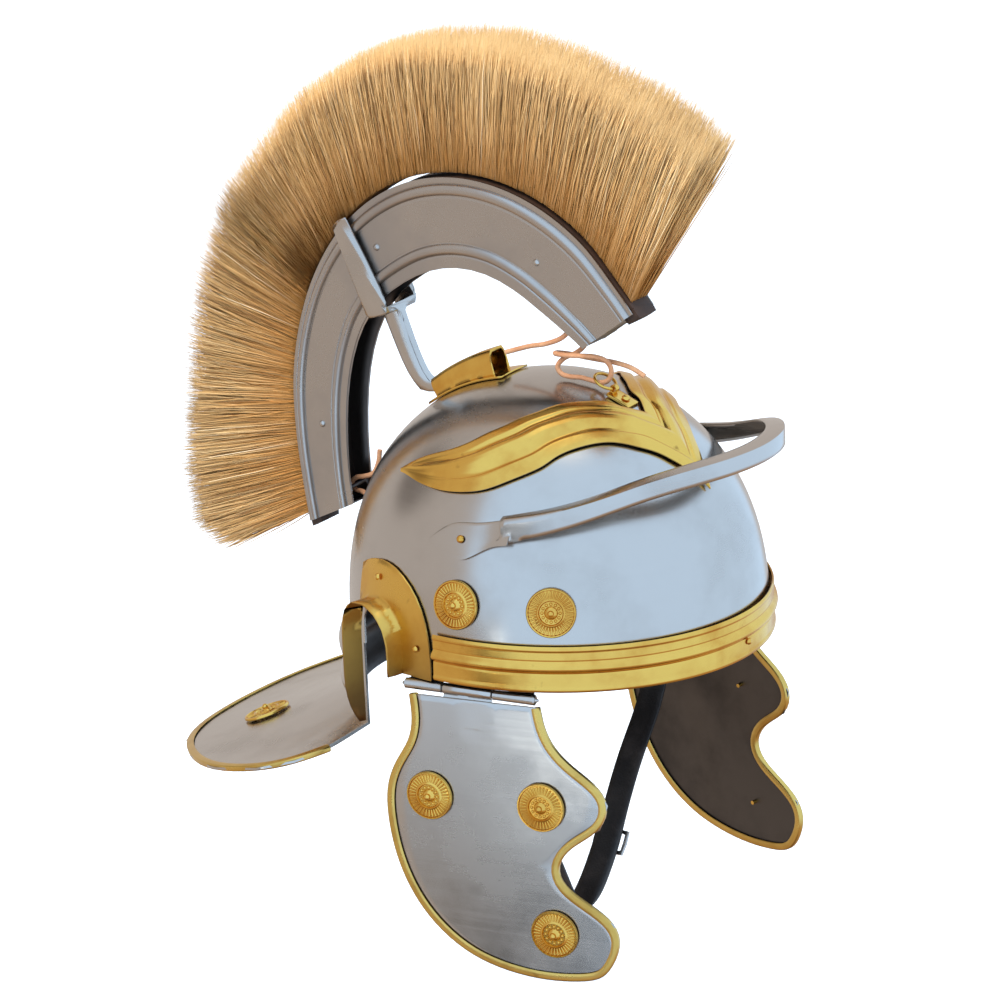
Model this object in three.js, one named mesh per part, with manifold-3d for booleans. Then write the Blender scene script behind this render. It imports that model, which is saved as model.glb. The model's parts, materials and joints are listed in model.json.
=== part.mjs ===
// A legionary's helmet with a crest, in millimetres. +Z is up, the brow faces -Y and the wearer's
// right is -X. Everything is drawn from the plane of the bowl's rim, then lowered so that the
// inside of the crown, where the head would bear, is the origin.
import * as THREE from "three";
import { mergeVertices } from "three/addons/utils/BufferGeometryUtils.js";
import Module from "manifold-3d";

const { Vector2, Vector3, Matrix4, MathUtils } = THREE;
const wasm = await Module();
wasm.setup();

// Driving dimensions.
const gap = 0.35;
const bowl = { halfLength: 112, halfWidth: 101.5, height: 130.2, wall: 1.2, fullness: 2.46 };
const ear = { centreY: 47, radius: 17.2, springZ: 11.5, flange: 10.5, flangeWall: 1.1, plateTop: 50.8, legEnd: -42.5 };
const nape = { startAngle: 126, swell: 6.8, floorZ: -44 };
const guard = { reach: 212, halfWidth: 134, frontY: 70, cornerZ: -50, slope: 0.25 };
const band = { endAngle: 93.6, bottomZ: -2.5, topZ: 21.5, lift: 0.25, relief: 3.1 };
const brass = { sheet: 0.9, lift: 0.8 };
const brow = { lift: 1.1, relief: 2.6 };
const visor = { inset: 9.5, overhang: 15, web: 9.3, flange: 10, wall: 1.2, plate: 1.5 };
const cheek = { wall: 1.3, inset: 1.5, halfLength: 95, drop: 158, flare: 0.16, curve: 5, lean: 9, bulge: 2 };
const hinge = { tube: 2.9, bore: 1.5, pin: 1.25, leaf: 1.1, rearY: 25.2, frontY: -46.5, z: -7.45, rearInset: -1.5, frontInset: 9 };
const trim = { depth: 3.2, web: 1.1, half: 2, slot: 1.3 };
const rosette = { radius: 12.6, height: 3.1 };
const rivet = { radius: 2.3, height: 1.7 };
const box = { halfWidth: 9.6, wall: 1, bead: 1.1, webShare: 0.36, behind: 45.2, rise: 99.1 };
const plume = { locks: 13, rootHalf: 8.2, tipHalf: 23, length: 76.7 };
const fork = { halfWidth: 12.2, strip: 1.5, stem: 7 };
const strap = { width: 15, thickness: 1.9, y: -5, drop: 164 };
const buckle = { width: 20.4, length: 14, wire: 1.8, tongue: 1.6, z: -128 };
const thong = 2.6;

const colours = {
  steel: { color: 0xa59b94, metalness: 0.9, roughness: 0.32 },
  brass: { color: 0xc8a046, metalness: 0.9, roughness: 0.25 },
  leather: { color: 0x1c1715, metalness: 0, roughness: 0.6 },
  rawhide: { color: 0xd7a587, metalness: 0, roughness: 0.7 },
  wood: { color: 0x2e2018, metalness: 0, roughness: 0.7 },
  hair: { color: 0xcda05f, metalness: 0, roughness: 0.8 },
};

const helmet = new THREE.Group();
helmet.name = "roman_legionary_helmet";

// Welds a list of corner points into a closed mesh that faces out.
function closedMesh(triangles) {
  const flat = [];
  for (const [a, b, c] of triangles) {
    const same = a.distanceTo(b) < 2e-3 || b.distanceTo(c) < 2e-3 || c.distanceTo(a) < 2e-3;
    if (!same) flat.push(...a.toArray(), ...b.toArray(), ...c.toArray());
  }
  const loose = new THREE.BufferGeometry();
  loose.setAttribute("position", new THREE.Float32BufferAttribute(flat, 3));
  const welded = mergeVertices(loose, 1e-3);
  const at = welded.getAttribute("position");
  const index = welded.getIndex().array;
  const corner = (i) => new Vector3().fromBufferAttribute(at, index[i]);
  let volume = 0;
  for (let i = 0; i < index.length; i += 3) volume += corner(i).dot(corner(i + 1).cross(corner(i + 2)));
  if (volume < 0) {
    for (let i = 0; i < index.length; i += 3) [index[i + 1], index[i + 2]] = [index[i + 2], index[i + 1]];
  }
  return welded;
}

function toSolid(geometry) {
  const bare = new THREE.BufferGeometry();
  bare.setAttribute("position", geometry.getAttribute("position"));
  if (geometry.getIndex()) bare.setIndex(geometry.getIndex());
  const welded = mergeVertices(bare, 1e-3);
  return new wasm.Manifold(
    new wasm.Mesh({
      numProp: 3,
      vertProperties: new Float32Array(welded.getAttribute("position").array),
      triVerts: new Uint32Array(welded.getIndex().array),
    }),
  );
}

function toGeometry(solid) {
  const mesh = solid.getMesh();
  const geometry = new THREE.BufferGeometry();
  geometry.setAttribute("position", new THREE.BufferAttribute(new Float32Array(mesh.vertProperties), 3));
  geometry.setIndex(new THREE.BufferAttribute(new Uint32Array(mesh.triVerts), 1));
  return geometry;
}

const join = (first, ...rest) => toGeometry(rest.reduce((sum, g) => sum.add(toSolid(g)), toSolid(first)));
const cut = (first, ...rest) => toGeometry(rest.reduce((sum, g) => sum.subtract(toSolid(g)), toSolid(first)));

// Skins a grid of outer points and its inner twin into one closed sheet.
function sheet(outer, inner, present = () => true) {
  const rows = outer.length - 1;
  const columns = outer[0].length - 1;
  const has = (r, c) => r >= 0 && c >= 0 && r < rows && c < columns && present(r, c);
  const triangles = [];
  const quad = (a, b, c, d) => triangles.push([a, b, c], [a, c, d]);
  for (let r = 0; r < rows; r++) {
    for (let c = 0; c < columns; c++) {
      if (!has(r, c)) continue;
      quad(outer[r][c], outer[r][c + 1], outer[r + 1][c + 1], outer[r + 1][c]);
      quad(inner[r][c], inner[r + 1][c], inner[r + 1][c + 1], inner[r][c + 1]);
      if (!has(r - 1, c)) quad(outer[r][c + 1], outer[r][c], inner[r][c], inner[r][c + 1]);
      if (!has(r + 1, c)) quad(outer[r + 1][c], outer[r + 1][c + 1], inner[r + 1][c + 1], inner[r + 1][c]);
      const wraps = outer[r][0].distanceTo(outer[r][columns]) < 1e-3;
      if (!has(r, c - 1) && !(wraps && c === 0 && has(r, columns - 1))) {
        quad(outer[r][c], outer[r + 1][c], inner[r + 1][c], inner[r][c]);
      }
      if (!has(r, c + 1) && !(wraps && c === columns - 1 && has(r, 0))) {
        quad(outer[r + 1][c + 1], outer[r][c + 1], inner[r][c + 1], inner[r + 1][c + 1]);
      }
    }
  }
  return closedMesh(triangles);
}

// Runs a flat section through a list of frames and closes both ends.
function sweep(section, frames) {
  const outline = section.map(([x, y]) => new Vector2(x, y));
  const rings = frames.map((frame) => outline.map((p) => new Vector3(p.x, p.y, 0).applyMatrix4(frame)));
  return sweepRings(outline, rings);
}

function sweepRings(outline, rings) {
  const triangles = [];
  const count = outline.length;
  for (let k = 0; k < rings.length - 1; k++) {
    for (let i = 0; i < count; i++) {
      const j = (i + 1) % count;
      triangles.push([rings[k][i], rings[k][j], rings[k + 1][j]], [rings[k][i], rings[k + 1][j], rings[k + 1][i]]);
    }
  }
  const turn = THREE.ShapeUtils.isClockWise(outline) ? -1 : 1;
  const ordered = turn < 0 ? [...outline].reverse() : outline;
  const pick = (i) => (turn < 0 ? count - 1 - i : i);
  for (const [a, b, c] of THREE.ShapeUtils.triangulateShape(ordered, [])) {
    const first = rings[0];
    const last = rings[rings.length - 1];
    const cap = turn < 0 ? [pick(a), pick(b), pick(c)] : [pick(c), pick(b), pick(a)];
    triangles.push(cap.map((i) => first[i]));
    triangles.push([...cap].reverse().map((i) => last[i]));
  }
  return closedMesh(triangles);
}

// A frame whose X is `side`, whose Y is `out` and whose Z runs along the sweep.
function frameAt(origin, side, out) {
  const x = side.clone().normalize();
  const y = out.clone().addScaledVector(x, -out.dot(x)).normalize();
  return new Matrix4().makeBasis(x, y, x.clone().cross(y)).setPosition(origin);
}

// Directions along a list of points, each the mean of its two neighbouring runs.
function tangents(points) {
  return points.map((p, i) => {
    const before = points[Math.max(0, i - 1)];
    const after = points[Math.min(points.length - 1, i + 1)];
    const a = p.clone().sub(before).normalize();
    const b = after.clone().sub(p).normalize();
    return a.add(b).normalize();
  });
}

const finishes = {};
function add(name, geometry, look) {
  finishes[look] ??= colours[look];
  const piece = new THREE.Mesh(geometry, new THREE.MeshStandardMaterial(finishes[look]));
  piece.name = name;
  helmet.add(piece);
}

// Builds a piece for the wearer's right and its twin, mirrored in the middle plane, for the left.
function addPair(name, geometry, look) {
  add("right_" + name, geometry, look);
  add("left_" + name, mirrored(geometry), look);
}

function mirrored(geometry) {
  const twin = (geometry.getIndex() ? geometry.toNonIndexed() : geometry.clone()).scale(-1, 1, 1);
  const at = twin.getAttribute("position").array;
  for (let i = 0; i < at.length; i += 9) {
    for (let k = 0; k < 3; k++) [at[i + 3 + k], at[i + 6 + k]] = [at[i + 6 + k], at[i + 3 + k]];
  }
  return twin;
}

// The bowl's outside: angle in degrees from the brow towards the wearer's left, height above the
// rim, and distance off the skin.
function skin(angle, z, off = 0) {
  const rise = Math.max(0, z) / (bowl.height + off);
  const shrink = Math.sqrt(Math.max(0, 1 - rise ** bowl.fullness));
  const turn = MathUtils.degToRad(angle);
  const x = (bowl.halfWidth + off) * shrink * Math.sin(turn);
  const y = -(bowl.halfLength + off) * shrink * Math.cos(turn);
  return new Vector3(x, y, z);
}

// The dome's outside above a point of the plan.
function dome(x, y, off = 0) {
  const share = Math.hypot(x / (bowl.halfWidth + off), y / (bowl.halfLength + off));
  const z = (bowl.height + off) * Math.max(0, 1 - share ** 2) ** (1 / bowl.fullness);
  return new Vector3(x, y, z);
}

function domeNormal(x, y) {
  const along = dome(x + 0.5, y).sub(dome(x - 0.5, y));
  const across = dome(x, y + 0.5).sub(dome(x, y - 0.5));
  return along.cross(across).normalize();
}

function skinNormal(angle, z) {
  const along = skin(angle + 0.5, z).sub(skin(angle - 0.5, z));
  const up = skin(angle, z + 0.5).sub(skin(angle, z - 0.5));
  return along.cross(up).normalize();
}

// The angle at which the skin passes a given Y on the wearer's right.
function angleAtY(y, z) {
  const rise = Math.max(0, z) / bowl.height;
  const shrink = Math.sqrt(1 - rise ** bowl.fullness);
  return -MathUtils.radToDeg(Math.acos(MathUtils.clamp(-y / (bowl.halfLength * shrink), -1, 1)));
}

// Bowl, nape and neck guard in one sheet.
const domeRows = [90, 76, 62, 48, 33, 17, 0].map((u) => bowl.height * Math.sin(MathUtils.degToRad(u)));
// Height, and swell as a share of the nape's full swell, down the two ridges.
const napeRows = [
  { z: -4, swell: 0.7 },
  { z: -10, swell: 1 },
  { z: -16, swell: 0.8 },
  { z: -20, swell: 0.2 },
  { z: -24, swell: 0.8 },
  { z: -30, swell: 1 },
  { z: -36, swell: 0.7 },
  { z: -41, swell: 0.15 },
];
// The neck guard's edge, from its front corner to the middle of the back, as shares of its width
// and reach.
const guardEdge = [
  { angle: 126, across: 0.79, along: 0.345 },
  { angle: 130.5, across: 0.935, along: 0.385 },
  { angle: 135, across: 1, along: 0.47 },
  { angle: 144, across: 0.955, along: 0.63 },
  { angle: 153, across: 0.78, along: 0.785 },
  { angle: 162, across: 0.56, along: 0.912 },
  { angle: 171, across: 0.3, along: 0.982 },
  { angle: 180, across: 0, along: 1 },
];
const bowlAngles = [];
for (let a = -180; a <= 180; a += 9) bowlAngles.push(a);
bowlAngles.push(130.5, -130.5);
bowlAngles.sort((a, b) => a - b);

function guardEdgePoint(angle) {
  const next = Math.max(1, guardEdge.findIndex((e) => e.angle > Math.abs(angle) - 0.01));
  const from = guardEdge[next - 1];
  const to = guardEdge[next];
  const share = (Math.abs(angle) - from.angle) / (to.angle - from.angle);
  const x = Math.sign(angle) * MathUtils.lerp(from.across, to.across, share) * guard.halfWidth;
  const y = MathUtils.lerp(from.along, to.along, share) * guard.reach;
  return new Vector3(x, y, guard.cornerZ - guard.slope * (y - guard.frontY));
}

// Walks out from the nape's foot to the guard's edge; share 0 is the foot and 1 the edge.
function guardPoint(angle, share, drop) {
  const foot = skin(angle, nape.floorZ - 1);
  const edge = guardEdgePoint(angle);
  const at = foot.lerp(edge, share);
  const sag = 3.2 * Math.sin(Math.PI * share) * Math.min(1, (Math.abs(angle) - nape.startAngle) / 15 + 0.2);
  return at.setZ(at.z - sag - drop);
}

function bowlGrid(off, drop) {
  const rows = domeRows.map((z, k) => {
    const height = k === 0 ? bowl.height + off : z;
    return bowlAngles.map((a) => (k === 0 ? new Vector3(0, 0, height) : skin(a, height, off)));
  });
  const napeSpan = (a) => MathUtils.smoothstep(Math.abs(a), nape.startAngle, nape.startAngle + 14);
  for (const row of napeRows) {
    rows.push(bowlAngles.map((a) => skin(a, row.z, off + nape.swell * row.swell * napeSpan(a))));
  }
  for (const share of [0.08, 0.5, 1]) {
    const usable = (a) => (Math.abs(a) < nape.startAngle ? skin(a, nape.floorZ) : guardPoint(a, share, drop));
    rows.push(bowlAngles.map(usable));
  }
  return rows;
}

function earCutter() {
  const arch = new THREE.Shape();
  arch.moveTo(ear.centreY - ear.radius, -1.5);
  arch.lineTo(ear.centreY - ear.radius, ear.springZ);
  arch.absarc(ear.centreY, ear.springZ, ear.radius, Math.PI, 0, true);
  arch.lineTo(ear.centreY + ear.radius, -1.5);
  const bar = new THREE.ExtrudeGeometry(arch, { depth: 260, bevelEnabled: false, curveSegments: 10 });
  return bar.translate(0, 0, -130).applyMatrix4(new Matrix4().makeBasis(
    new Vector3(0, 1, 0),
    new Vector3(0, 0, 1),
    new Vector3(1, 0, 0),
  ));
}

const napeStart = domeRows.length - 1;
const bowlShell = sheet(bowlGrid(0, 0), bowlGrid(-bowl.wall, bowl.wall), (r, c) => {
  const middle = (bowlAngles[c] + bowlAngles[c + 1]) / 2;
  return r < napeStart || Math.abs(middle) > nape.startAngle;
});
add("bowl", cut(bowlShell, earCutter()), "steel");

// Brow band: height and relief as shares of the band's own.
const bandSection = [
  { up: 0, out: 0.161 },
  { up: 0, out: 0.613 },
  { up: 0.32, out: 0.613 },
  { up: 0.38, out: 0.419 },
  { up: 0.47, out: 1 },
  { up: 0.58, out: 1 },
  { up: 0.67, out: 0.419 },
  { up: 0.86, out: 0.484 },
  { up: 1, out: 0.742 },
  { up: 1, out: 0.161 },
];
const bandRings = [];
for (let k = 0; k <= 22; k++) {
  const angle = k === 0 || k === 22 ? Math.sign(k - 11) * band.endAngle : (k - 11) * 9;
  bandRings.push(bandSection.map(({ up, out }) =>
    skin(angle, MathUtils.lerp(band.bottomZ, band.topZ, up), band.lift + out * band.relief)));
}
const bandOutline = bandSection.map(({ up, out }) => new Vector2(out * band.relief, up * (band.topZ - band.bottomZ)));
add("brow_band", sweepRings(bandOutline, bandRings), "brass");

// Eyebrow plate: pairs of plan points on its lower and upper edges, from the middle to the tip,
// as shares of the bowl's half width and half length.
const browStations = [
  { lowX: 0, lowY: -0.84, highX: 0, highY: -0.505 },
  { lowX: -0.1, lowY: -0.731, highX: -0.075, highY: -0.43 },
  { lowX: -0.16, lowY: -0.662, highX: -0.11, highY: -0.365 },
  { lowX: -0.224, lowY: -0.601, highX: -0.19, highY: -0.295 },
  { lowX: -0.32, lowY: -0.503, highX: -0.29, highY: -0.21 },
  { lowX: -0.441, lowY: -0.412, highX: -0.38, highY: -0.152 },
  { lowX: -0.525, lowY: -0.355, highX: -0.44, highY: -0.103 },
  { lowX: -0.616, lowY: -0.302, highX: -0.5, highY: -0.055 },
  { lowX: -0.705, lowY: -0.205, highX: -0.56, highY: 0.015 },
  { lowX: -0.768, lowY: -0.1, highX: -0.61, highY: 0.08 },
  { lowX: -0.793, lowY: 0.007, highX: -0.638, highY: 0.15 },
  { lowX: -0.79, lowY: 0.134, highX: -0.648, highY: 0.225 },
  { lowX: -0.753, lowY: 0.266, highX: -0.652, highY: 0.325 },
  { lowX: -0.67, lowY: 0.425, highX: -0.655, highY: 0.432 },
];
const browRelief = [
  { share: 0, rise: 0 },
  { share: 0.24, rise: 0.42 },
  { share: 0.5, rise: 1 },
  { share: 0.76, rise: 0.42 },
  { share: 1, rise: 0 },
];
function browPoint(station, share, off) {
  const side = Math.sign(station) || 1;
  const { lowX, lowY, highX, highY } = browStations[Math.abs(station)];
  const x = MathUtils.lerp(lowX, highX, share) * bowl.halfWidth * (station === 0 ? 1 : side);
  const y = MathUtils.lerp(lowY, highY, share) * bowl.halfLength;
  return dome(x, y, off);
}
const browLast = browStations.length - 1;
const browOuter = [];
const browInner = [];
for (let k = -browLast; k <= browLast; k++) {
  const fade = Math.min(1, (browLast - Math.abs(k)) / 3);
  const relief = brow.relief * fade;
  browOuter.push(browRelief.map((r) => browPoint(k, r.share, brow.lift + brass.sheet + r.rise * relief)));
  browInner.push(browRelief.map((r) => browPoint(k, r.share, brow.lift)));
}
add("eyebrow_plate", sheet(browOuter, browInner), "brass");

// Brow guard: an L of strip round the brow, clear of the bowl, with a riveted plate at each temple.
// Stations run from the temple to the middle, as shares of its reach and of the bowl's height.
const visorReach = bowl.halfLength + visor.overhang;
const visorStations = [
  { along: 0.2126, up: 0.5415 },
  { along: 0.3071, up: 0.5668 },
  { along: 0.4173, up: 0.5983 },
  { along: 0.5276, up: 0.6375 },
  { along: 0.6378, up: 0.6836 },
  { along: 0.7323, up: 0.722 },
  { along: 0.811, up: 0.7473 },
  { along: 0.8819, up: 0.765 },
  { along: 0.937, up: 0.7757 },
  { along: 0.9764, up: 0.7819 },
  { along: 1, up: 0.7834 },
];
function visorSpot(k) {
  const station = visorStations[visorStations.length - 1 - Math.abs(k)];
  const x = Math.sign(k) * (bowl.halfWidth - visor.inset) * Math.sqrt(1 - station.along ** 2);
  return new Vector3(x, -station.along * visorReach, station.up * bowl.height);
}
const visorLast = visorStations.length - 1;
const visorSpots = [];
for (let k = -visorLast; k <= visorLast; k++) visorSpots.push(visorSpot(k));
const visorOutline = [
  [0, 0],
  [0, 1],
  [1, 1],
  [1, 0.87],
  [0.1, 0.87],
  [0.1, 0],
].map(([x, y]) => new Vector2(x, y));
const visorRings = visorSpots.map((spot, i) => {
  const inward = new Vector3(-spot.x, -spot.y * 0.75, 0).normalize();
  const temple = 1 - Math.min(1, (visorLast - Math.abs(i - visorLast)) / 4);
  const high = visor.web * (1 + 0.32 * temple);
  const deep = visor.flange * MathUtils.lerp(1, 0.5, temple);
  const edge = high + MathUtils.lerp(-0.05, 0.18, temple) * deep;
  return [
    spot.clone(),
    spot.clone().setZ(spot.z + high),
    spot.clone().addScaledVector(inward, deep).setZ(spot.z + edge),
    spot.clone().addScaledVector(inward, deep).setZ(spot.z + edge - visor.wall),
    spot.clone().addScaledVector(inward, visor.wall).setZ(spot.z + high - visor.wall),
    spot.clone().addScaledVector(inward, visor.wall),
  ];
});
// The temple plate lies on the bowl: the top and foot of its columns, as shares of the bowl's half
// length and height.
const plateColumns = [
  { topY: -0.2679, topZ: 0.6375, footY: -0.2679, footZ: 0.5453 },
  { topY: -0.1875, topZ: 0.6144, footY: -0.1875, footZ: 0.53 },
  { topY: -0.0982, topZ: 0.5991, footY: -0.0982, footZ: 0.4762 },
  { topY: 0.0179, topZ: 0.5952, footY: -0.0357, footZ: 0.457 },
  { topY: 0.0804, topZ: 0.5568, footY: 0.0714, footZ: 0.48 },
  { topY: 0.1205, topZ: 0.5223, footY: 0.1205, footZ: 0.5146 },
];
function templePlate() {
  const grid = (off) => [0, 1 / 3, 2 / 3, 1].map((share) => plateColumns.map((column, i) => {
    const y = MathUtils.lerp(column.topY, column.footY, share) * bowl.halfLength;
    const z = MathUtils.lerp(column.topZ, column.footZ, share) * bowl.height;
    return skin(angleAtY(y, z), z, i === 0 ? off + visor.wall * 3 : off);
  }));
  return sheet(grid(brass.lift + visor.plate), grid(brass.lift));
}
add("visor", join(
  sweepRings(visorOutline, visorRings),
  templePlate(),
  mirrored(templePlate()),
), "steel");

// Rosettes and rivets, turned about Z, standing on z = 0.
function turned(profile, segments) {
  const points = profile.map(([r, z]) => new Vector2(r, z));
  return closedMesh(trianglesOf(new THREE.LatheGeometry(points, segments).rotateX(Math.PI / 2)));
}
const rosetteProfile = [
  [0, 0],
  [1, 0],
  [1, 0.42],
  [0.34, 0.38],
  [0.22, 0.85],
  [0, 1],
];
const rosetteSolid = () => turned(
  rosetteProfile.map(([r, z]) => [r * rosette.radius, z * rosette.height]), 10);
const rivetSolid = (size = 1) => turned(
  [[0, rivet.height], [rivet.radius * 0.7, rivet.height * 0.75], [rivet.radius, 0], [0, 0]]
    .map(([r, z]) => [r * size, z * size]), 8);

function standing(geometry, origin, normal) {
  const up = Math.abs(normal.z) > 0.9 ? new Vector3(0, 1, 0) : new Vector3(0, 0, 1);
  const x = up.clone().cross(normal).normalize();
  const y = normal.clone().cross(x);
  return geometry.applyMatrix4(new Matrix4().makeBasis(x, y, normal).setPosition(origin));
}
const onSkin = (geometry, angle, z, off) => standing(geometry, skin(angle, z, off), skinNormal(angle, z));

const rosetteZ = 0.294 * bowl.height;
addPair("bowl_rosette_rear", onSkin(rosetteSolid(), -87.1, rosetteZ, gap * 1.6), "brass");
addPair("bowl_rosette_front", onSkin(rosetteSolid(), -60.6, rosetteZ, gap * 1.6), "brass");
const bandRivetZ = MathUtils.lerp(band.bottomZ, band.topZ, 0.33);
add("brow_band_rivet", onSkin(rivetSolid(0.9), 0, bandRivetZ, band.lift + 0.79 * band.relief), "brass");
const templeZ = 0.543 * bowl.height;
const templeAngle = angleAtY(-0.044 * bowl.halfLength, templeZ);
addPair("visor_rivet", onSkin(rivetSolid(), templeAngle, templeZ, brass.lift + visor.plate + 2 * gap), "brass");

// Ear guard: a plate between its swept outer edge and the arch, with a standing flange brazed on.
const earArch = [];
const archRadius = ear.radius + 2 * gap;
const earLift = brass.lift + gap;
earArch.push([ear.centreY - archRadius, -4.2], [ear.centreY - archRadius, 4]);
for (let k = 0; k <= 6; k++) {
  const turn = Math.PI * (1 - k / 6);
  earArch.push([ear.centreY + archRadius * Math.cos(turn), ear.springZ + archRadius * Math.sin(turn)]);
}
// The plate's outer edge, matched to the arch points above: angle, and height as a share of its top.
const earOuter = [
  { angle: -94.6, up: -0.0827 },
  { angle: -94.6, up: 0.1181 },
  { angle: -95, up: 0.3543 },
  { angle: -97.4, up: 0.6398 },
  { angle: -102, up: 0.8465 },
  { angle: -109, up: 0.9803 },
  { angle: -115.5, up: 1 },
  { angle: -121.5, up: 0.9508 },
  { angle: -125.6, up: 0.8661 },
];
function earPlate() {
  const grid = (off) => [0, 0.35, 0.7, 1].map((share) => earOuter.map(({ angle, up }, i) => {
    const [y, low] = earArch[i];
    const at = MathUtils.lerp(up * ear.plateTop, low, share);
    return skin(MathUtils.lerp(angle, angleAtY(y, low), share), at, off);
  }));
  return sheet(grid(earLift + brass.sheet), grid(earLift));
}
function earFlange() {
  const leg = [-0.05, 0.24, 0.52, 0.8, 1].map((share) => [ear.centreY + archRadius, share * ear.legEnd]);
  const path = [...earArch, ...leg];
  const rings = path.map(([y, z], i) => {
    const before = path[Math.max(0, i - 1)];
    const after = path[Math.min(path.length - 1, i + 1)];
    const run = new Vector2(after[0] - before[0], after[1] - before[1]).normalize();
    const side = new Vector2(-run.y, run.x);
    const away = ear.flangeWall;
    const tall = i > path.length - 3 ? ear.flange * (i === path.length - 1 ? 0.35 : 0.8) : ear.flange;
    const at = (shift, off) => {
      const angle = angleAtY(y + side.x * shift, z + side.y * shift);
      return skin(angle, z + side.y * shift, off);
    };
    return [
      at(0, earLift),
      at(0, earLift + tall),
      at(away, earLift + tall),
      at(away, earLift),
    ];
  });
  return sweepRings([[0, 0], [0, 1], [1, 1], [1, 0]].map(([x, y]) => new Vector2(x, y)), rings);
}
addPair("ear_guard", join(earPlate(), earFlange()), "brass");
addPair("ear_rivet_rear", onSkin(rivetSolid(0.85), -115.6, 0.817 * ear.plateTop, earLift + brass.sheet + 2 * gap), "brass");
addPair("ear_rivet_front", onSkin(rivetSolid(0.85), -99.3, 0.226 * ear.plateTop, earLift + brass.sheet + 2 * gap), "brass");

// An edge trim: a folded strip with the sheet's edge inside its slot. X is out of the sheet's edge,
// Y is across its thickness.
const trimSection = [
  [-trim.depth, trim.slot],
  [-trim.depth * 0.7, trim.half],
  [trim.web, trim.half * 0.72],
  [trim.web, -trim.half * 0.72],
  [-trim.depth * 0.7, -trim.half],
  [-trim.depth, -trim.slot],
  [gap, -trim.slot],
  [gap, trim.slot],
];
function edgeTrim(points, normals) {
  const along = tangents(points);
  const frames = points.map((p, i) => frameAt(p, along[i].clone().cross(normals[i]), normals[i]));
  return sweep(trimSection, frames);
}

const guardRim = bowlAngles.filter((a) => Math.abs(a) >= nape.startAngle);
const guardOrder = [...guardRim.filter((a) => a > 0), ...guardRim.filter((a) => a < 0).slice(1)];
const guardPoints = guardOrder.map((a) => guardPoint(a, 1, bowl.wall / 2));
const guardNormals = guardOrder.map((a) => {
  const out = guardPoint(a, 1, 0).sub(guardPoint(a, 0.75, 0));
  const round = new Vector3(0, 0, 1).cross(out);
  return out.cross(round).normalize();
});
add("neck_guard_trim", edgeTrim(guardPoints, guardNormals), "brass");

function onGuard(geometry, angle, share) {
  const base = guardPoint(angle, share, 0);
  const out = guardPoint(angle, share + 0.1, 0).sub(guardPoint(angle, share - 0.1, 0));
  const round = guardPoint(angle + 7.5, share, 0).sub(guardPoint(angle - 7.5, share, 0));
  const normal = round.cross(out).normalize();
  if (normal.z < 0) normal.negate();
  return standing(geometry, base.addScaledVector(normal, gap + 0.7), normal);
}
addPair("guard_rosette", onGuard(rosetteSolid(), -165, 0.56), "brass");

// Cheek guard: rows from its rear to its front edge, as shares of its half length and drop.
const cheekShares = [
  { rearY: 0.213, rearDown: 0.0735, frontY: -0.503, frontDown: 0.069 },
  { rearY: 0.1888, rearDown: 0.154, frontY: -0.5261, frontDown: 0.1375 },
  { rearY: 0.209, rearDown: 0.232, frontY: -0.5854, frontDown: 0.2041 },
  { rearY: 0.2849, rearDown: 0.2983, frontY: -0.6903, frontDown: 0.2596 },
  { rearY: 0.3382, rearDown: 0.3767, frontY: -0.8154, frontDown: 0.3059 },
  { rearY: 0.3426, rearDown: 0.4619, frontY: -0.8915, frontDown: 0.3672 },
  { rearY: 0.3134, rearDown: 0.5722, frontY: -0.8496, frontDown: 0.4531 },
  { rearY: 0.2614, rearDown: 0.6712, frontY: -0.6872, frontDown: 0.5095 },
  { rearY: 0.1749, rearDown: 0.7693, frontY: -0.5947, frontDown: 0.5889 },
  { rearY: 0.0444, rearDown: 0.8586, frontY: -0.6412, frontDown: 0.662 },
  { rearY: -0.1331, rearDown: 0.9297, frontY: -0.7876, frontDown: 0.7127 },
  { rearY: -0.3383, rearDown: 0.9655, frontY: -0.9214, frontDown: 0.7665 },
  { rearY: -0.552, rearDown: 0.9787, frontY: -0.9543, frontDown: 0.8399 },
  { rearY: -0.7408, rearDown: 0.9679, frontY: -0.8838, frontDown: 0.9333 },
];
const cheekRows = cheekShares.map((row) => [
  row.rearY * cheek.halfLength,
  -row.rearDown * cheek.drop,
  row.frontY * cheek.halfLength,
  -row.frontDown * cheek.drop,
]);
// The guard flares to the rear, leans out towards its foot and turns in a little at the front.
function cheekPoint(y, z, off = 0) {
  const depth = -z / cheek.drop;
  const front = cheek.curve * (Math.max(0, -y) / cheek.halfLength) ** 2;
  const out = cheek.flare * y + cheek.lean * depth + cheek.bulge * Math.sin(Math.PI * depth);
  return new Vector3(-(bowl.halfWidth - cheek.inset - front + out + off), y, z);
}
function cheekGrid(off) {
  return cheekRows.map(([rearY, rearZ, frontY, frontZ]) => [0, 1 / 3, 2 / 3, 1].map((share) =>
    cheekPoint(MathUtils.lerp(rearY, frontY, share), MathUtils.lerp(rearZ, frontZ, share), off)));
}
function hingeSpot(y, z = hinge.z, off = 0) {
  const share = (y - hinge.rearY) / (hinge.frontY - hinge.rearY);
  return new Vector3(-(bowl.halfWidth - MathUtils.lerp(hinge.rearInset, hinge.frontInset, share) + off), y, z);
}
const hingeRun = hingeSpot(hinge.frontY).sub(hingeSpot(hinge.rearY)).normalize();
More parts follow.
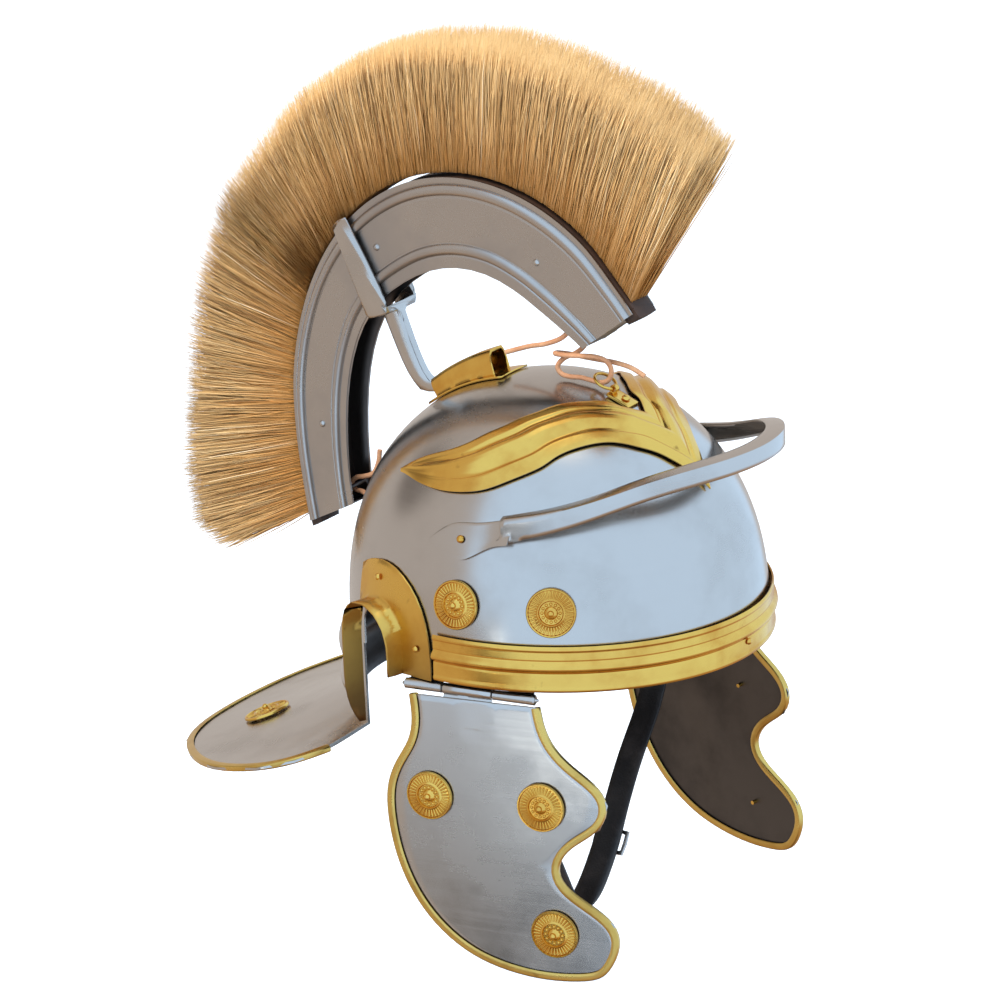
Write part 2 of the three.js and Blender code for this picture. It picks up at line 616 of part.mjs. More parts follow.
function hingeTube(fromY, toY, outer, inner) {
  const from = hingeSpot(fromY);
  const length = from.distanceTo(hingeSpot(toY));
  const wall = inner
    ? [[outer, 0], [outer, length], [inner, length], [inner, 0], [outer, 0]]
    : [[0, 0], [outer, 0], [outer, length], [0, length]];
  const tube = new THREE.LatheGeometry(wall.map(([r, z]) => new Vector2(r, z)), 8);
  const turn = new THREE.Quaternion().setFromUnitVectors(new Vector3(0, 1, 0), hingeRun);
  return closedMesh(trianglesOf(tube.applyQuaternion(turn).translate(from.x, from.y, from.z)));
}
function trianglesOf(geometry) {
  const loose = geometry.getIndex() ? geometry.toNonIndexed() : geometry;
  const at = loose.getAttribute("position");
  const list = [];
  for (let i = 0; i < at.count; i += 3) {
    list.push([0, 1, 2].map((k) => new Vector3().fromBufferAttribute(at, i + k)));
  }
  return list;
}
const knuckleRear = 4.2;
const knuckleFront = -23.2;
function cheekTab() {
  const span = [0, 0.5, 1].map((s) => MathUtils.lerp(knuckleRear - 0.6, knuckleFront + 0.6, s));
  const grid = (off) => [
    span.map((y) => hingeSpot(y, hinge.z - hinge.tube * 0.75, off - 0.6)),
    span.map((y) => cheekPoint(y, -17, off)),
    span.map((y) => cheekPoint(y, -26, off)),
  ];
  return sheet(grid(cheek.wall - 0.05), grid(0.05));
}
addPair("cheek_guard", join(
  sheet(cheekGrid(cheek.wall), cheekGrid(0)),
  cheekTab(),
  hingeTube(knuckleRear - 0.3, knuckleFront + 0.3, hinge.tube, hinge.bore),
), "steel");

// The leaf hangs inside the wall and turns out under the rim to its knuckles. Where it lies flatter
// there, part of its thickness is measured downward.
function fixedLeaf(fromY, toY, down) {
  const span = [0, 1 / 3, 2 / 3, 1].map((s) => MathUtils.lerp(fromY, toY, s));
  const inside = (y, z, off) => skin(angleAtY(y, z), z, -bowl.wall - 4 * gap - off);
  const grid = (off) => [
    span.map((y) => inside(y, 9, off)),
    span.map((y) => inside(y, -4.35 - down * off, off)),
    span.map((y) => hingeSpot(y, hinge.z + hinge.tube * 0.7 - down * off, 0.1 - off)),
  ];
  return sheet(grid(0), grid(hinge.leaf));
}
addPair("hinge_leaf_rear", join(
  fixedLeaf(hinge.rearY - 1, knuckleRear + 1.2, 0.7),
  hingeTube(hinge.rearY, knuckleRear + 0.2, hinge.tube, hinge.bore),
), "steel");
addPair("hinge_leaf_front", join(
  fixedLeaf(knuckleFront - 1.2, hinge.frontY + 1, 0),
  hingeTube(knuckleFront - 0.2, hinge.frontY, hinge.tube, hinge.bore),
), "steel");
addPair("hinge_pin", hingeTube(hinge.rearY + 1.5, hinge.frontY - 1.5, hinge.pin, 0), "steel");

function cheekTrim() {
  const rear = cheekRows.map(([y, z]) => [y, z]);
  const front = cheekRows.map(([, , y, z]) => [y, z]).reverse();
  const edge = [...rear, [-0.8233 * cheek.halfLength, -0.9553 * cheek.drop], ...front];
  const points = edge.map(([y, z]) => cheekPoint(y, z, cheek.wall / 2));
  const normals = edge.map(([y, z]) => cheekNormal(y, z));
  return edgeTrim(points, normals);
}
function cheekNormal(y, z) {
  const along = cheekPoint(y + 1, z).sub(cheekPoint(y - 1, z));
  const up = cheekPoint(y, z + 1).sub(cheekPoint(y, z - 1));
  const normal = along.cross(up).normalize();
  return normal.x > 0 ? normal.negate() : normal;
}
addPair("cheek_trim", cheekTrim(), "brass");

const cheekRosettes = [
  { name: "rear", along: 0.0975, down: 0.4016 },
  { name: "front", along: -0.5337, down: 0.3939 },
  { name: "low", along: -0.6034, down: 0.8185 },
];
for (const spot of cheekRosettes) {
  const y = spot.along * cheek.halfLength;
  const z = -spot.down * cheek.drop;
  const normal = cheekNormal(y, z);
  const seat = cheekPoint(y, z, cheek.wall).addScaledVector(normal, 1.7 * gap);
  addPair("cheek_rosette_" + spot.name, standing(rosetteSolid(), seat, normal), "brass");
}

// Crest box: stations along its arc in the middle plane. Lengths are shares of how far it reaches
// back, heights are shares of its rise over the crown.
const crestSpan = bowl.halfLength + box.behind;
const crestSpot = (back, up) => new Vector2(back * crestSpan, bowl.height + up * box.rise);
const crestShares = [
  { outBack: -0.362, outUp: 0.4157, inBack: -0.1686, inUp: 0.1948 },
  { outBack: -0.2926, outUp: 0.5489, inBack: -0.1145, inUp: 0.2553 },
  { outBack: -0.1749, outUp: 0.7447, inBack: -0.0064, inUp: 0.3643 },
  { outBack: -0.0318, outUp: 0.888, inBack: 0.0922, inUp: 0.4541 },
  { outBack: 0.1272, outUp: 0.9748, inBack: 0.1972, inUp: 0.5166 },
  { outBack: 0.299, outUp: 1, inBack: 0.3117, inUp: 0.5288 },
  { outBack: 0.4771, outUp: 0.9506, inBack: 0.423, inUp: 0.4904 },
  { outBack: 0.6425, outUp: 0.8204, inBack: 0.528, inUp: 0.4046 },
  { outBack: 0.7824, outUp: 0.6216, inBack: 0.6234, inUp: 0.2926 },
  { outBack: 0.8906, outUp: 0.3663, inBack: 0.6997, inUp: 0.1413 },
  { outBack: 0.9606, outUp: 0.0888, inBack: 0.7506, inUp: -0.0525 },
  { outBack: 0.9975, outUp: -0.2038, inBack: 0.7799, inUp: -0.2694 },
  { outBack: 1, outUp: -0.5066, inBack: 0.7913, inUp: -0.5267 },
  { outBack: 0.9809, outUp: -0.8093, inBack: 0.7875, inUp: -0.7386 },
  { outBack: 0.9625, outUp: -1.0111, inBack: 0.7786, inUp: -0.8698 },
];
const crestStations = crestShares.map((s) => [
  ...crestSpot(s.outBack, s.outUp).toArray(),
  ...crestSpot(s.inBack, s.inUp).toArray(),
]);
// Section of the box: side as a share of the half width, share of the way from the inner edge to the
// outer one, and how far it stands proud of the wall.
const web = box.webShare;
const boxSide = [
  { deep: 0, proud: 0.2 },
  { deep: 0.09, proud: 1 },
  { deep: 0.15, proud: 0 },
  { deep: 0.81, proud: 0 },
  { deep: 0.87, proud: 1 },
  { deep: 1, proud: 0.2 },
];
const inside = box.halfWidth - box.wall;
const boxOutline = [
  ...boxSide.map((s) => [-(box.halfWidth + s.proud * box.bead), s.deep]),
  [-inside, 1],
  [-inside, web + 0.03],
  [inside, web + 0.03],
  [inside, 1],
  ...[...boxSide].reverse().map((s) => [box.halfWidth + s.proud * box.bead, s.deep]),
  [inside, 0],
  [inside, web],
  [-inside, web],
  [-inside, 0],
];
function crestAt([outY, outZ, inY, inZ], x, deep) {
  return new Vector3(x, MathUtils.lerp(inY, outY, deep), MathUtils.lerp(inZ, outZ, deep));
}
function crestSweep(outline, stations) {
  const rings = stations.map((s) => outline.map(([x, deep]) => crestAt(s, x, deep)));
  return sweepRings(outline.map(([x, deep]) => new Vector2(x, deep * box.behind)), rings);
}
// A station set a few millimetres along the arc from one of the listed ones.
function stationNear(index, toward, distance) {
  const from = crestStations[index];
  const to = crestStations[toward];
  const length = Math.hypot(to[0] - from[0], to[1] - from[1]);
  return from.map((v, i) => MathUtils.lerp(v, to[i], distance / length));
}
const crestEnd = crestStations.length - 1;
const endPlate = (index, toward) => crestSweep(
  [[-inside - 0.3, 0.02], [-inside - 0.3, 0.76], [inside + 0.3, 0.76], [inside + 0.3, 0.02]],
  [stationNear(index, toward, 0.15), stationNear(index, toward, 1.2)],
);
const tieBar = (station, deep) => {
  const pin = new THREE.CylinderGeometry(thong * 0.46, thong * 0.46, 2 * inside + box.wall, 8).rotateZ(Math.PI / 2);
  const at = crestAt(station, 0, deep);
  return closedMesh(trianglesOf(pin.translate(at.x, at.y, at.z)));
};
add("crest_box", join(
  crestSweep(boxOutline, crestStations),
  endPlate(0, 1),
  endPlate(crestEnd, crestEnd - 1),
  tieBar(crestStations[1], 0.114),
  tieBar(stationNear(crestEnd - 1, crestEnd, 7.3), 0.147),
), "steel");

const blockHalf = inside - gap;
const blockBody = crestSweep(
  [[-blockHalf, web + 0.045], [-blockHalf, 1.03], [blockHalf, 1.03], [blockHalf, web + 0.045]],
  [stationNear(0, 1, 1.7), ...crestStations.slice(1, crestEnd), stationNear(crestEnd, crestEnd - 1, 1.7)],
);
const blockNose = (index, toward) => crestSweep(
  [[-blockHalf, 0.8], [-blockHalf, 1.03], [blockHalf, 1.03], [blockHalf, 0.8]],
  [stationNear(index, toward, -3.5), stationNear(index, toward, 3)],
);
add("crest_base", join(blockBody, blockNose(0, 1), blockNose(crestEnd, crestEnd - 1)), "wood");

// Plume: locks that fan from the base block, fused side by side and to a backing strip. The tip
// line in the middle plane is matched to shares of the arc, as shares of the plume's own reach and rise.
const plumeTips = [
  { share: 0, back: -0.4233, up: 0.744 },
  { share: 0.045, back: -0.3677, up: 0.8009 },
  { share: 0.11, back: -0.2822, up: 0.8749 },
  { share: 0.215, back: -0.0855, up: 0.9602 },
  { share: 0.3, back: 0.0855, up: 1 },
  { share: 0.4, back: 0.2993, up: 0.9772 },
  { share: 0.46, back: 0.419, up: 0.9261 },
  { share: 0.55, back: 0.5985, up: 0.7838 },
  { share: 0.66, back: 0.8294, up: 0.4596 },
  { share: 0.72, back: 0.9106, up: 0.2036 },
  { share: 0.78, back: 0.9491, up: -0.0182 },
  { share: 0.83, back: 0.9705, up: -0.2287 },
  { share: 0.9, back: 0.9876, up: -0.4562 },
  { share: 0.96, back: 0.9662, up: -0.6382 },
  { share: 1, back: 0.8679, up: -0.7122 },
];
function tipAt(wanted) {
  const share = MathUtils.clamp(wanted, 0, 1);
  const k = Math.max(1, plumeTips.findIndex((t) => t.share >= share));
  const a = plumeTips[k - 1];
  const b = plumeTips[k];
  const t = (share - a.share) / (b.share - a.share);
  const y = MathUtils.lerp(a.back, b.back, t) * (crestSpan + plume.length);
  return new Vector3(0, y, bowl.height + MathUtils.lerp(a.up, b.up, t) * (box.rise + plume.length));
}
const rootCurve = new THREE.CatmullRomCurve3(crestStations.map((s) => crestAt(s, 0, 1.07)));
function lock(share, halfShare, length) {
  const from = Math.max(0, share - halfShare);
  const to = Math.min(1, share + halfShare);
  const at = (s, reach) => rootCurve.getPointAt(MathUtils.clamp(s, 0, 1)).lerp(tipAt(s), reach);
  const ring = (reach, half, spread) => {
    const a = at(MathUtils.lerp(share, from, spread), reach);
    const b = at(MathUtils.lerp(share, to, spread), reach);
    return [
      a.clone().setX(-half),
      b.clone().setX(-half),
      b.clone().setX(half),
      a.clone().setX(half),
    ];
  };
  return sweepRings([[0, 0], [1, 0], [1, 1], [0, 1]].map(([x, y]) => new Vector2(x, y)), [
    ring(0, plume.rootHalf, 1),
    ring(0.86, plume.tipHalf, 1.02),
    ring(length, plume.tipHalf * 0.86, 0.62),
  ]);
}
const locks = [];
for (let k = 0; k < plume.locks; k++) {
  const share = (k + 0.5) / plume.locks;
  locks.push(lock(share, 0.5 / plume.locks + 0.0006, 1 - 0.02 * ((k * 5) % 3)));
}
const backing = sweepRings(
  [[0, 0], [1, 0], [1, 1], [0, 1]].map(([x, y]) => new Vector2(x, y)),
  Array.from({ length: 14 }, (_, k) => k / 13).map((s) => {
    const low = rootCurve.getPointAt(s).lerp(tipAt(s), 0.004);
    const high = rootCurve.getPointAt(s).lerp(tipAt(s), 0.09);
    const half = plume.rootHalf + 0.3;
    return [low.clone().setX(-half), high.clone().setX(-half), high.clone().setX(half), low.clone().setX(half)];
  }),
);
add("plume", join(backing, ...locks), "hair");

// Rivets in the crest box's near side.
const boxRivets = [
  { name: "front", back: -0.0032, up: 0.6135 },
  { name: "middle", back: 0.6253, up: 0.5732 },
  { name: "rear", back: 0.8874, up: -0.446 },
];
for (const spot of boxRivets) {
  const at = crestSpot(spot.back, spot.up);
  const seat = new Vector3(-box.halfWidth - gap, at.x, at.y);
  add("crest_rivet_" + spot.name, standing(rivetSolid(0.95), seat, new Vector3(-1, 0, 0)), "steel");
}

// Crest fork: two arms outside the box, a bar under it and a stem into the holder.
function bar(corners, lowX, highX) {
  return sweepRings(corners, [lowX, highX].map((x) => corners.map((p) => new Vector3(x, p.x, p.y))));
}
const forkArm = [
  crestSpot(0.792, 0.669),
  crestSpot(0.7347, 0.7296),
  crestSpot(0.5821, 0.3007),
  crestSpot(0.5852, 0.2301),
  crestSpot(0.6616, 0.1948),
];
const forkFoot = fork.halfWidth + fork.strip;
const forkBridge = [
  crestSpot(0.5821, 0.2704),
  crestSpot(0.5852, 0.225),
  crestSpot(0.652, 0.1897),
  crestSpot(0.6578, 0.2099),
];
// The stem, from under the bridge to its tongue in the holder: upper spots hang from the crest, lower
// ones lie over the crown. Thickness is a share of the stem's width.
const overCrown = (share, off) => new Vector2(share * bowl.halfLength, dome(0, share * bowl.halfLength).z + off);
const stemPath = [
  { at: crestSpot(0.6202, 0.2351), half: 0.8 },
  { at: crestSpot(0.5725, 0.0383), half: 0.7143 },
  { at: crestSpot(0.5344, -0.0928), half: 0.7143 },
  { at: overCrown(0.7009, 15.6), half: 0.6286 },
  { at: overCrown(0.625, 6.1), half: 0.3429 },
  { at: overCrown(0.5179, 4.9), half: 0.2857 },
  { at: overCrown(0.3929, 6), half: 0.2857 },
];
const stemRings = stemPath.map((spot, i) => {
  const before = stemPath[Math.max(0, i - 1)];
  const after = stemPath[Math.min(stemPath.length - 1, i + 1)];
  const run = after.at.clone().sub(before.at).normalize();
  const side = fork.stem / 2;
  const deep = spot.half * fork.stem;
  const chamfer = fork.stem * (i < 4 ? 0.17 : 0.07);
  const at = (x, n) => new Vector3(x, spot.at.x - run.y * n, spot.at.y + run.x * n);
  return [
    at(-side, -deep + chamfer),
    at(-side, deep - chamfer),
    at(-side + chamfer, deep),
    at(side - chamfer, deep),
    at(side, deep - chamfer),
    at(side, -deep + chamfer),
    at(side - chamfer, -deep),
    at(-side + chamfer, -deep),
  ];
});
const stemOutline = [[0, 1], [0, 3], [1, 4], [3, 4], [4, 3], [4, 1], [3, 0], [1, 0]].map(([x, y]) => new Vector2(x, y));
add("crest_fork", join(
  bar(forkArm, -forkFoot, -fork.halfWidth),
  bar(forkArm, fork.halfWidth, forkFoot),
  bar(forkBridge, -forkFoot, forkFoot),
  sweepRings(stemOutline, stemRings),
), "steel");

// Fork holder: a tunnel on a foot plate that lies on the crown.
const holderRun = [0.589, 0.536, 0.473, 0.411, 0.339, 0.268].map((share) => share * bowl.halfLength);
const holder = { half: 7.6, low: 9.6, high: 13, plateHalf: 12, plate: 1.1 };
function holderShell() {
  const outline = [
    [-1, 0],
    [-1, 0.7],
    [-0.7, 1],
    [0.7, 1],
    [1, 0.7],
    [1, 0],
    [0.86, 0],
    [0.86, 0.64],
    [0.62, 0.88],
    [-0.62, 0.88],
    [-0.86, 0.64],
    [-0.86, 0],
  ];
  const rings = holderRun.map((y, i) => {
    const high = MathUtils.lerp(holder.low, holder.high, i / (holderRun.length - 1));
    return outline.map(([side, up]) => {
      const base = dome(side * holder.half, y, 1);
      return base.addScaledVector(domeNormal(0, y), up * high);
    });
  });
  return sweepRings(outline.map(([x, y]) => new Vector2(x, y)), rings);
}
// A strip on the crown between two shares of the bowl's half length.
function footPlate(from, to, half, thickness, off = 0.5) {
  const steps = Math.ceil(Math.abs(to - from) * 14);
  const ys = Array.from({ length: steps + 1 }, (_, k) => MathUtils.lerp(from, to, k / steps) * bowl.halfLength);
  const xs = [-1, 0, 1];
  const grid = (height) => ys.map((y) => xs.map((s) => dome(s * half, y, height)));
  return sheet(grid(off + thickness), grid(off));
}
add("fork_holder", join(footPlate(0.616, 0.196, holder.plateHalf, holder.plate), holderShell()), "brass");

// Tie plates with their eyes, rings and thongs.
function ring(radius, wire, origin, normal) {
  return standing(new THREE.TorusGeometry(radius, wire, 5, 12), origin, normal.clone().normalize());
}
function eye(length, origin, axis) {
  const wall = [[2.4, 0], [2.4, length], [1.65, length], [1.65, 0], [2.4, 0]];
  const tube = new THREE.LatheGeometry(wall.map(([r, z]) => new Vector2(r, z - length / 2)), 8);
  const turn = new THREE.Quaternion().setFromUnitVectors(new Vector3(0, 1, 0), axis);
  return closedMesh(trianglesOf(tube.applyQuaternion(turn).translate(origin.x, origin.y, origin.z)));
}
const tie = { sheet: 1.2, lift: 0.6, frontY: -0.343 * bowl.halfLength, rivetY: -0.403 * bowl.halfLength, backUp: 0.307 };
const frontEye = dome(0, tie.frontY, 3.7);
const frontRingLean = new Vector3(0, 0.866, 0.5);
add("front_tie_plate", join(
  footPlate(-0.325, -0.443, 5, tie.sheet, tie.lift),
  eye(3, frontEye, new Vector3(1, 0, 0)),
), "brass");
add("front_tie_rivet", standing(rivetSolid(1.1), dome(0, tie.rivetY, tie.lift + tie.sheet + 0.5), domeNormal(0, tie.rivetY)), "brass");
add("front_ring", ring(6.2, 1.1, frontEye.clone().addScaledVector(frontRingLean, 6.2),
  new Vector3(0, -frontRingLean.z, frontRingLean.y)), "brass");

function backPlate() {
  const heights = [0.7, 0.9, 1.1].map((share) => share * tie.backUp * bowl.height);
  const grid = (off) => heights.map((z) => [-3, 0, 3].map((a) => skin(180 + a, z, off)));
  return sheet(grid(tie.lift + tie.sheet), grid(tie.lift));
}
const backEye = skin(180, tie.backUp * bowl.height, 4);
const backRingLean = new Vector3(0, 0.75, -0.66);
add("back_tie_plate", join(backPlate(), eye(3, backEye, new Vector3(1, 0, 0))), "steel");
add("back_ring", ring(5, 1.1, backEye.clone().addScaledVector(backRingLean, 5),
  new Vector3(0, 0.66, 0.75)), "steel");

// Thongs: the route of each one's middle, from free end to free end.
const frontThongRoute = [
  [-5, 23.6, 139.7],
  [-5, 16, 142.4],
  [-5, 8.7, 144.9],
  [-5, -1, 147.4],
  [-4.5, -11, 152],
  [-3.7, -17, 158.5],
  [-3.2, -19.8, 162.4],
  [-2.6, -23.5, 162.2],
  [-2.2, -24.8, 158],
  [-1.8, -23.6, 151],
  [-2, -21, 147],
  [-3, -16.8, 143.8],
  [-4.6, -11.4, 141],
  [-5.4, -8, 136.6],
  [-4.9, -9.6, 133],
  [-3.8, -13.8, 131.6],
  [-2, -19.4, 131.4],
  [-0.8, -24.8, 130.4],
  [0, -29.4, 129.6],
  [0.6, -33.4, 130.6],
  [0.9, -35.8, 133.8],
  [0.8, -36, 138],
  [-0.4, -33.8, 141.8],
  [-4, -29.4, 144.2],
  [-7.4, -22.5, 144.6],
  [-8, -14, 144],
  [-5.4, -6.8, 143.2],
  [0, -5.4, 142],
  [4, -10.5, 140.8],
  [5, -18, 140],
  [5, -27, 139.8],
  [5, -36, 139.6],
  [5.6, -45, 138],
  [6.2, -52.6, 134.5],
];
const backThongRoute = [
  [5, 114, 71],
  [4.4, 115, 64],
  [3.6, 118, 58],
  [2.8, 123.4, 55.6],
  [2.3, 128.2, 54.4],
  [1.9, 131, 51.2],
  [1.6, 128.8, 47.7],
  [1.2, 124.4, 47.6],
  [0.9, 120.4, 45.6],
  [0.6, 119.8, 40.5],
  [0, 117.2, 36.2],
  [-2.2, 116.4, 31],
  [-4.6, 117, 24.5],
  [-4, 120.5, 19.5],
  [-0.5, 122.5, 20.5],
  [1.5, 123.5, 26],
  [2, 126.5, 33],
];
function thongSolid(route, steps) {
  const curve = new THREE.CatmullRomCurve3(route.map(([x, y, z]) => new Vector3(x, y, z)));
  const round = new THREE.Shape().absarc(0, 0, thong / 2, 0, 2 * Math.PI);
  const tube = new THREE.ExtrudeGeometry(round, { steps, curveSegments: 4, extrudePath: curve });
  return closedMesh(trianglesOf(tube));
}
add("front_thong", thongSolid(frontThongRoute, 34), "rawhide");
add("back_thong", thongSolid(backThongRoute, 20), "rawhide");

// Chin strap: a strip hung as a V across the helmet. Its middle line as shares of the bowl's half
// width and of the strap's drop.
const strapSpine = [
  { across: 0.9498, down: -0.0976 },
  { across: 0.9399, down: -0.0183 },
  { across: 0.9025, down: 0.0305 },
  { across: 0.8926, down: 0.0854 },
  { across: 0.8719, down: 0.2073 },
  { across: 0.8276, down: 0.3537 },
  { across: 0.7291, down: 0.4695 },
  { across: 0.5911, down: 0.561 },
  { across: 0.4926, down: 0.6402 },
  { across: 0.4039, down: 0.7256 },
  { across: 0.3103, down: 0.8171 },
  { across: 0.197, down: 0.9085 },
  { across: 0.0887, down: 0.9756 },
  { across: -0.0099, down: 1 },
  { across: -0.0985, down: 0.9634 },
  { across: -0.197, down: 0.8293 },
  { across: -0.3744, down: 0.6341 },
  { across: -0.5911, down: 0.4146 },
  { across: -0.8079, down: 0.2073 },
  { across: -0.8906, down: 0.0854 },
  { across: -0.9025, down: 0.0305 },
  { across: -0.9399, down: -0.0183 },
  { across: -0.9498, down: -0.0976 },
];
const strapCurve = new THREE.CatmullRomCurve3(strapSpine.map(({ across, down }) =>
  new Vector3(across * bowl.halfWidth, strap.y, -down * strap.drop)));
const strapPoints = strapCurve.getPoints(26);
const strapAlong = tangents(strapPoints);
const crosswise = new Vector3(0, 1, 0);
const strapIn = (i) => strapAlong[i].clone().cross(crosswise).normalize();
const strapRings = strapPoints.map((p, i) => {
  const doubled = p.x > 0.04 * bowl.halfWidth && p.x < 0.37 * bowl.halfWidth && p.z < -0.67 * strap.drop;
  const inner = strap.thickness * (doubled ? 1.5 : 0.5);
  const at = (side, off) => p.clone().addScaledVector(crosswise, side * strap.width / 2)
    .addScaledVector(strapIn(i), off);
  return [at(-1, -strap.thickness / 2), at(1, -strap.thickness / 2), at(1, inner), at(-1, inner)];
});
add("chin_strap", sweepRings([[0, 0], [1, 0], [1, 1], [0, 1]].map(([x, y]) => new Vector2(x, y)), strapRings), "leather");

// Wire buckle on the strap's inner face, its tongue in one with it.
function buckleSolid() {
  const slab = (width, length, x, depth) => new THREE.BoxGeometry(width, length, depth).translate(x, 0, 0);
  const opening = buckle.width / 2 - buckle.wire - buckle.tongue / 2;
  const middle = (opening + buckle.tongue) / 2;
  const hole = (side) => slab(opening, buckle.length - 2 * buckle.wire, side * middle, 3 * buckle.wire);
  const frame = cut(slab(buckle.width, buckle.length, 0, buckle.wire), hole(-1), hole(1));
  const near = strapPoints.findIndex((p) => p.z < buckle.z);
  const out = strapIn(near);
  const seat = strapPoints[near].clone().addScaledVector(out, strap.thickness * 1.5 + gap + buckle.wire / 2);
  return frame.applyMatrix4(new Matrix4().makeBasis(crosswise, out.clone().cross(crosswise), out).setPosition(seat));
}
add("strap_buckle", buckleSolid(), "steel");

helmet.position.z = -(bowl.height - bowl.wall);
export default helmet;
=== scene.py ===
import json
import math

import bpy
import numpy as np
from mathutils import Matrix, Vector


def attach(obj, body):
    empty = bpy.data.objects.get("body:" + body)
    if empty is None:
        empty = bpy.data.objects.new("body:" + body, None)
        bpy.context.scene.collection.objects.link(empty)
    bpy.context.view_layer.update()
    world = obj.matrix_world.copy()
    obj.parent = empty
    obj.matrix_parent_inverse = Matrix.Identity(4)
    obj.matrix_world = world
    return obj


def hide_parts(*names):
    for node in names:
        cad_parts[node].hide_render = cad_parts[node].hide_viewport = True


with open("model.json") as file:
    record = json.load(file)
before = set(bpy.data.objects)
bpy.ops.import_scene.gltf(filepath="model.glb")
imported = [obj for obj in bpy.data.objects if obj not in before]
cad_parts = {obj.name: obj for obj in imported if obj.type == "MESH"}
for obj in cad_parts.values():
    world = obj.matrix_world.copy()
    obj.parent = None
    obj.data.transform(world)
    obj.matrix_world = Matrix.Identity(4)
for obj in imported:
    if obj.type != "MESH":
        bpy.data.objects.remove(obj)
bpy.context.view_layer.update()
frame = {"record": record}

mm = 0.001
rimDrop = 129.0  # mm from the inside of the crown down to the rim plane
weldGap = 0.00002  # m, points nearer than this are joined


def rimPoint(x, y, z):
    return Vector((x * mm, y * mm, (z - rimDrop) * mm))


def blendNumbers(a, b, share):
    return a + (b - a) * share


def smoothStep(low, high, value):
    t = min(1.0, max(0.0, (value - low) / (high - low)))
    return t * t * (3 - 2 * t)


def clearSelection():
    if bpy.context.mode != "OBJECT":
        bpy.ops.object.mode_set(mode="OBJECT")
    bpy.ops.object.select_all(action="DESELECT")


def activate(piece):
    clearSelection()
    piece.select_set(True)
    bpy.context.view_layer.objects.active = piece


def applyModifiers(piece):
    activate(piece)
    for modifier in list(piece.modifiers):
        bpy.ops.object.modifier_apply(modifier=modifier.name)


def bakePlace(piece):
    activate(piece)
    bpy.ops.object.transform_apply(location=True, rotation=True, scale=True)


def shadeByAngle(piece, degrees=35):
    activate(piece)
    bpy.ops.object.shade_smooth_by_angle(angle=math.radians(degrees))


# a smooth line through points, sampled evenly in each gap between two of them
def smoothLine(points, perGap):
    pts = [Vector(p) for p in points]
    ends = [pts[0] * 2 - pts[1]] + pts + [pts[-1] * 2 - pts[-2]]
    line = []
    for i in range(1, len(ends) - 2):
        p0, p1, p2, p3 = ends[i - 1 : i + 3]
        t1 = max(1e-6, (p1 - p0).length ** 0.5)
        t2 = t1 + max(1e-6, (p2 - p1).length ** 0.5)
        t3 = t2 + max(1e-6, (p3 - p2).length ** 0.5)
        for k in range(perGap):
            t = blendNumbers(t1, t2, k / perGap)
            a1 = p0 * ((t1 - t) / t1) + p1 * (t / t1)
            a2 = p1 * ((t2 - t) / (t2 - t1)) + p2 * ((t - t1) / (t2 - t1))
            a3 = p2 * ((t3 - t) / (t3 - t2)) + p3 * ((t - t2) / (t3 - t2))
            b1 = a1 * ((t2 - t) / t2) + a2 * (t / t2)
            b2 = a2 * ((t3 - t) / (t3 - t1)) + a3 * ((t - t1) / (t3 - t1))
            line.append(b1 * ((t2 - t) / (t2 - t1)) + b2 * ((t - t1) / (t2 - t1)))
    line.append(pts[-1])
    return line


def lineLength(line):
    return sum((b - a).length for a, b in zip(line, line[1:]))


# the direction at an azimuth and an elevation in degrees, azimuth 0 in front of the brow
def aim(azimuth, elevation):
    az, el = math.radians(azimuth), math.radians(elevation)
    return Vector((math.sin(az) * math.cos(el), -math.cos(az) * math.cos(el), math.sin(el)))


# ---- camera
view = {"azimuth": -55.86, "elevation": 20.13, "roll": -2.09, "distance": 2.2, "lens": 152.7,
        "shiftX": -0.059, "shiftY": 0.1136}


def placeCamera():
    az, roll = math.radians(view["azimuth"]), math.radians(view["roll"])
    back = aim(view["azimuth"], view["elevation"])
    right = Vector((math.cos(az), math.sin(az), 0))
    up = back.cross(right)
    tiltedRight = right * math.cos(roll) + up * math.sin(roll)
    tiltedUp = up * math.cos(roll) - right * math.sin(roll)
    data = bpy.data.cameras.new("camera")
    data.lens = view["lens"]
    data.sensor_width = 36
    data.shift_x = view["shiftX"]
    data.shift_y = view["shiftY"]
    data.clip_start = 0.05
    data.clip_end = 60
    eye = bpy.data.objects.new("camera", data)
    bpy.context.scene.collection.objects.link(eye)
    turn = Matrix((tiltedRight, tiltedUp, back)).transposed().to_4x4()
    eye.matrix_world = Matrix.Translation(back * view["distance"] + rimPoint(0, 0, 0)) @ turn
    bpy.context.scene.camera = eye


placeCamera()
print("camera placed")

# ---- thongs, each from free end to free end
thong = {"diameter": 2.6, "gapSteps": 6}
frontThongRoute = [
    (-5, 23.6, 139.7), (-5, 16, 142.4), (-5, 8.7, 144.9), (-5, -1, 147.4), (-4.5, -11, 152),
    (-3.7, -17, 158.5), (-3.2, -19.8, 162.4), (-2.6, -23.5, 162.2), (-2.2, -24.8, 158), (-1.8, -23.6, 151),
    (-2, -21, 147), (-3, -16.8, 143.8), (-4.6, -11.4, 141), (-5.4, -8, 136.6), (-4.9, -9.6, 133),
    (-3.8, -13.8, 131.6), (-2, -19.4, 131.4), (-0.8, -24.8, 130.4), (0, -29.4, 129.6), (0.6, -33.4, 130.6),
    (0.9, -35.8, 133.8), (0.8, -36, 138), (-0.4, -33.8, 141.8), (-4, -29.4, 144.2), (-7.4, -22.5, 144.6),
    (-8, -14, 144), (-5.4, -6.8, 143.2), (0, -5.4, 142), (4, -10.5, 140.8), (5, -18, 140),
    (5, -27, 139.8), (5, -36, 139.6), (5.6, -45, 138), (6.2, -52.6, 134.5),
]
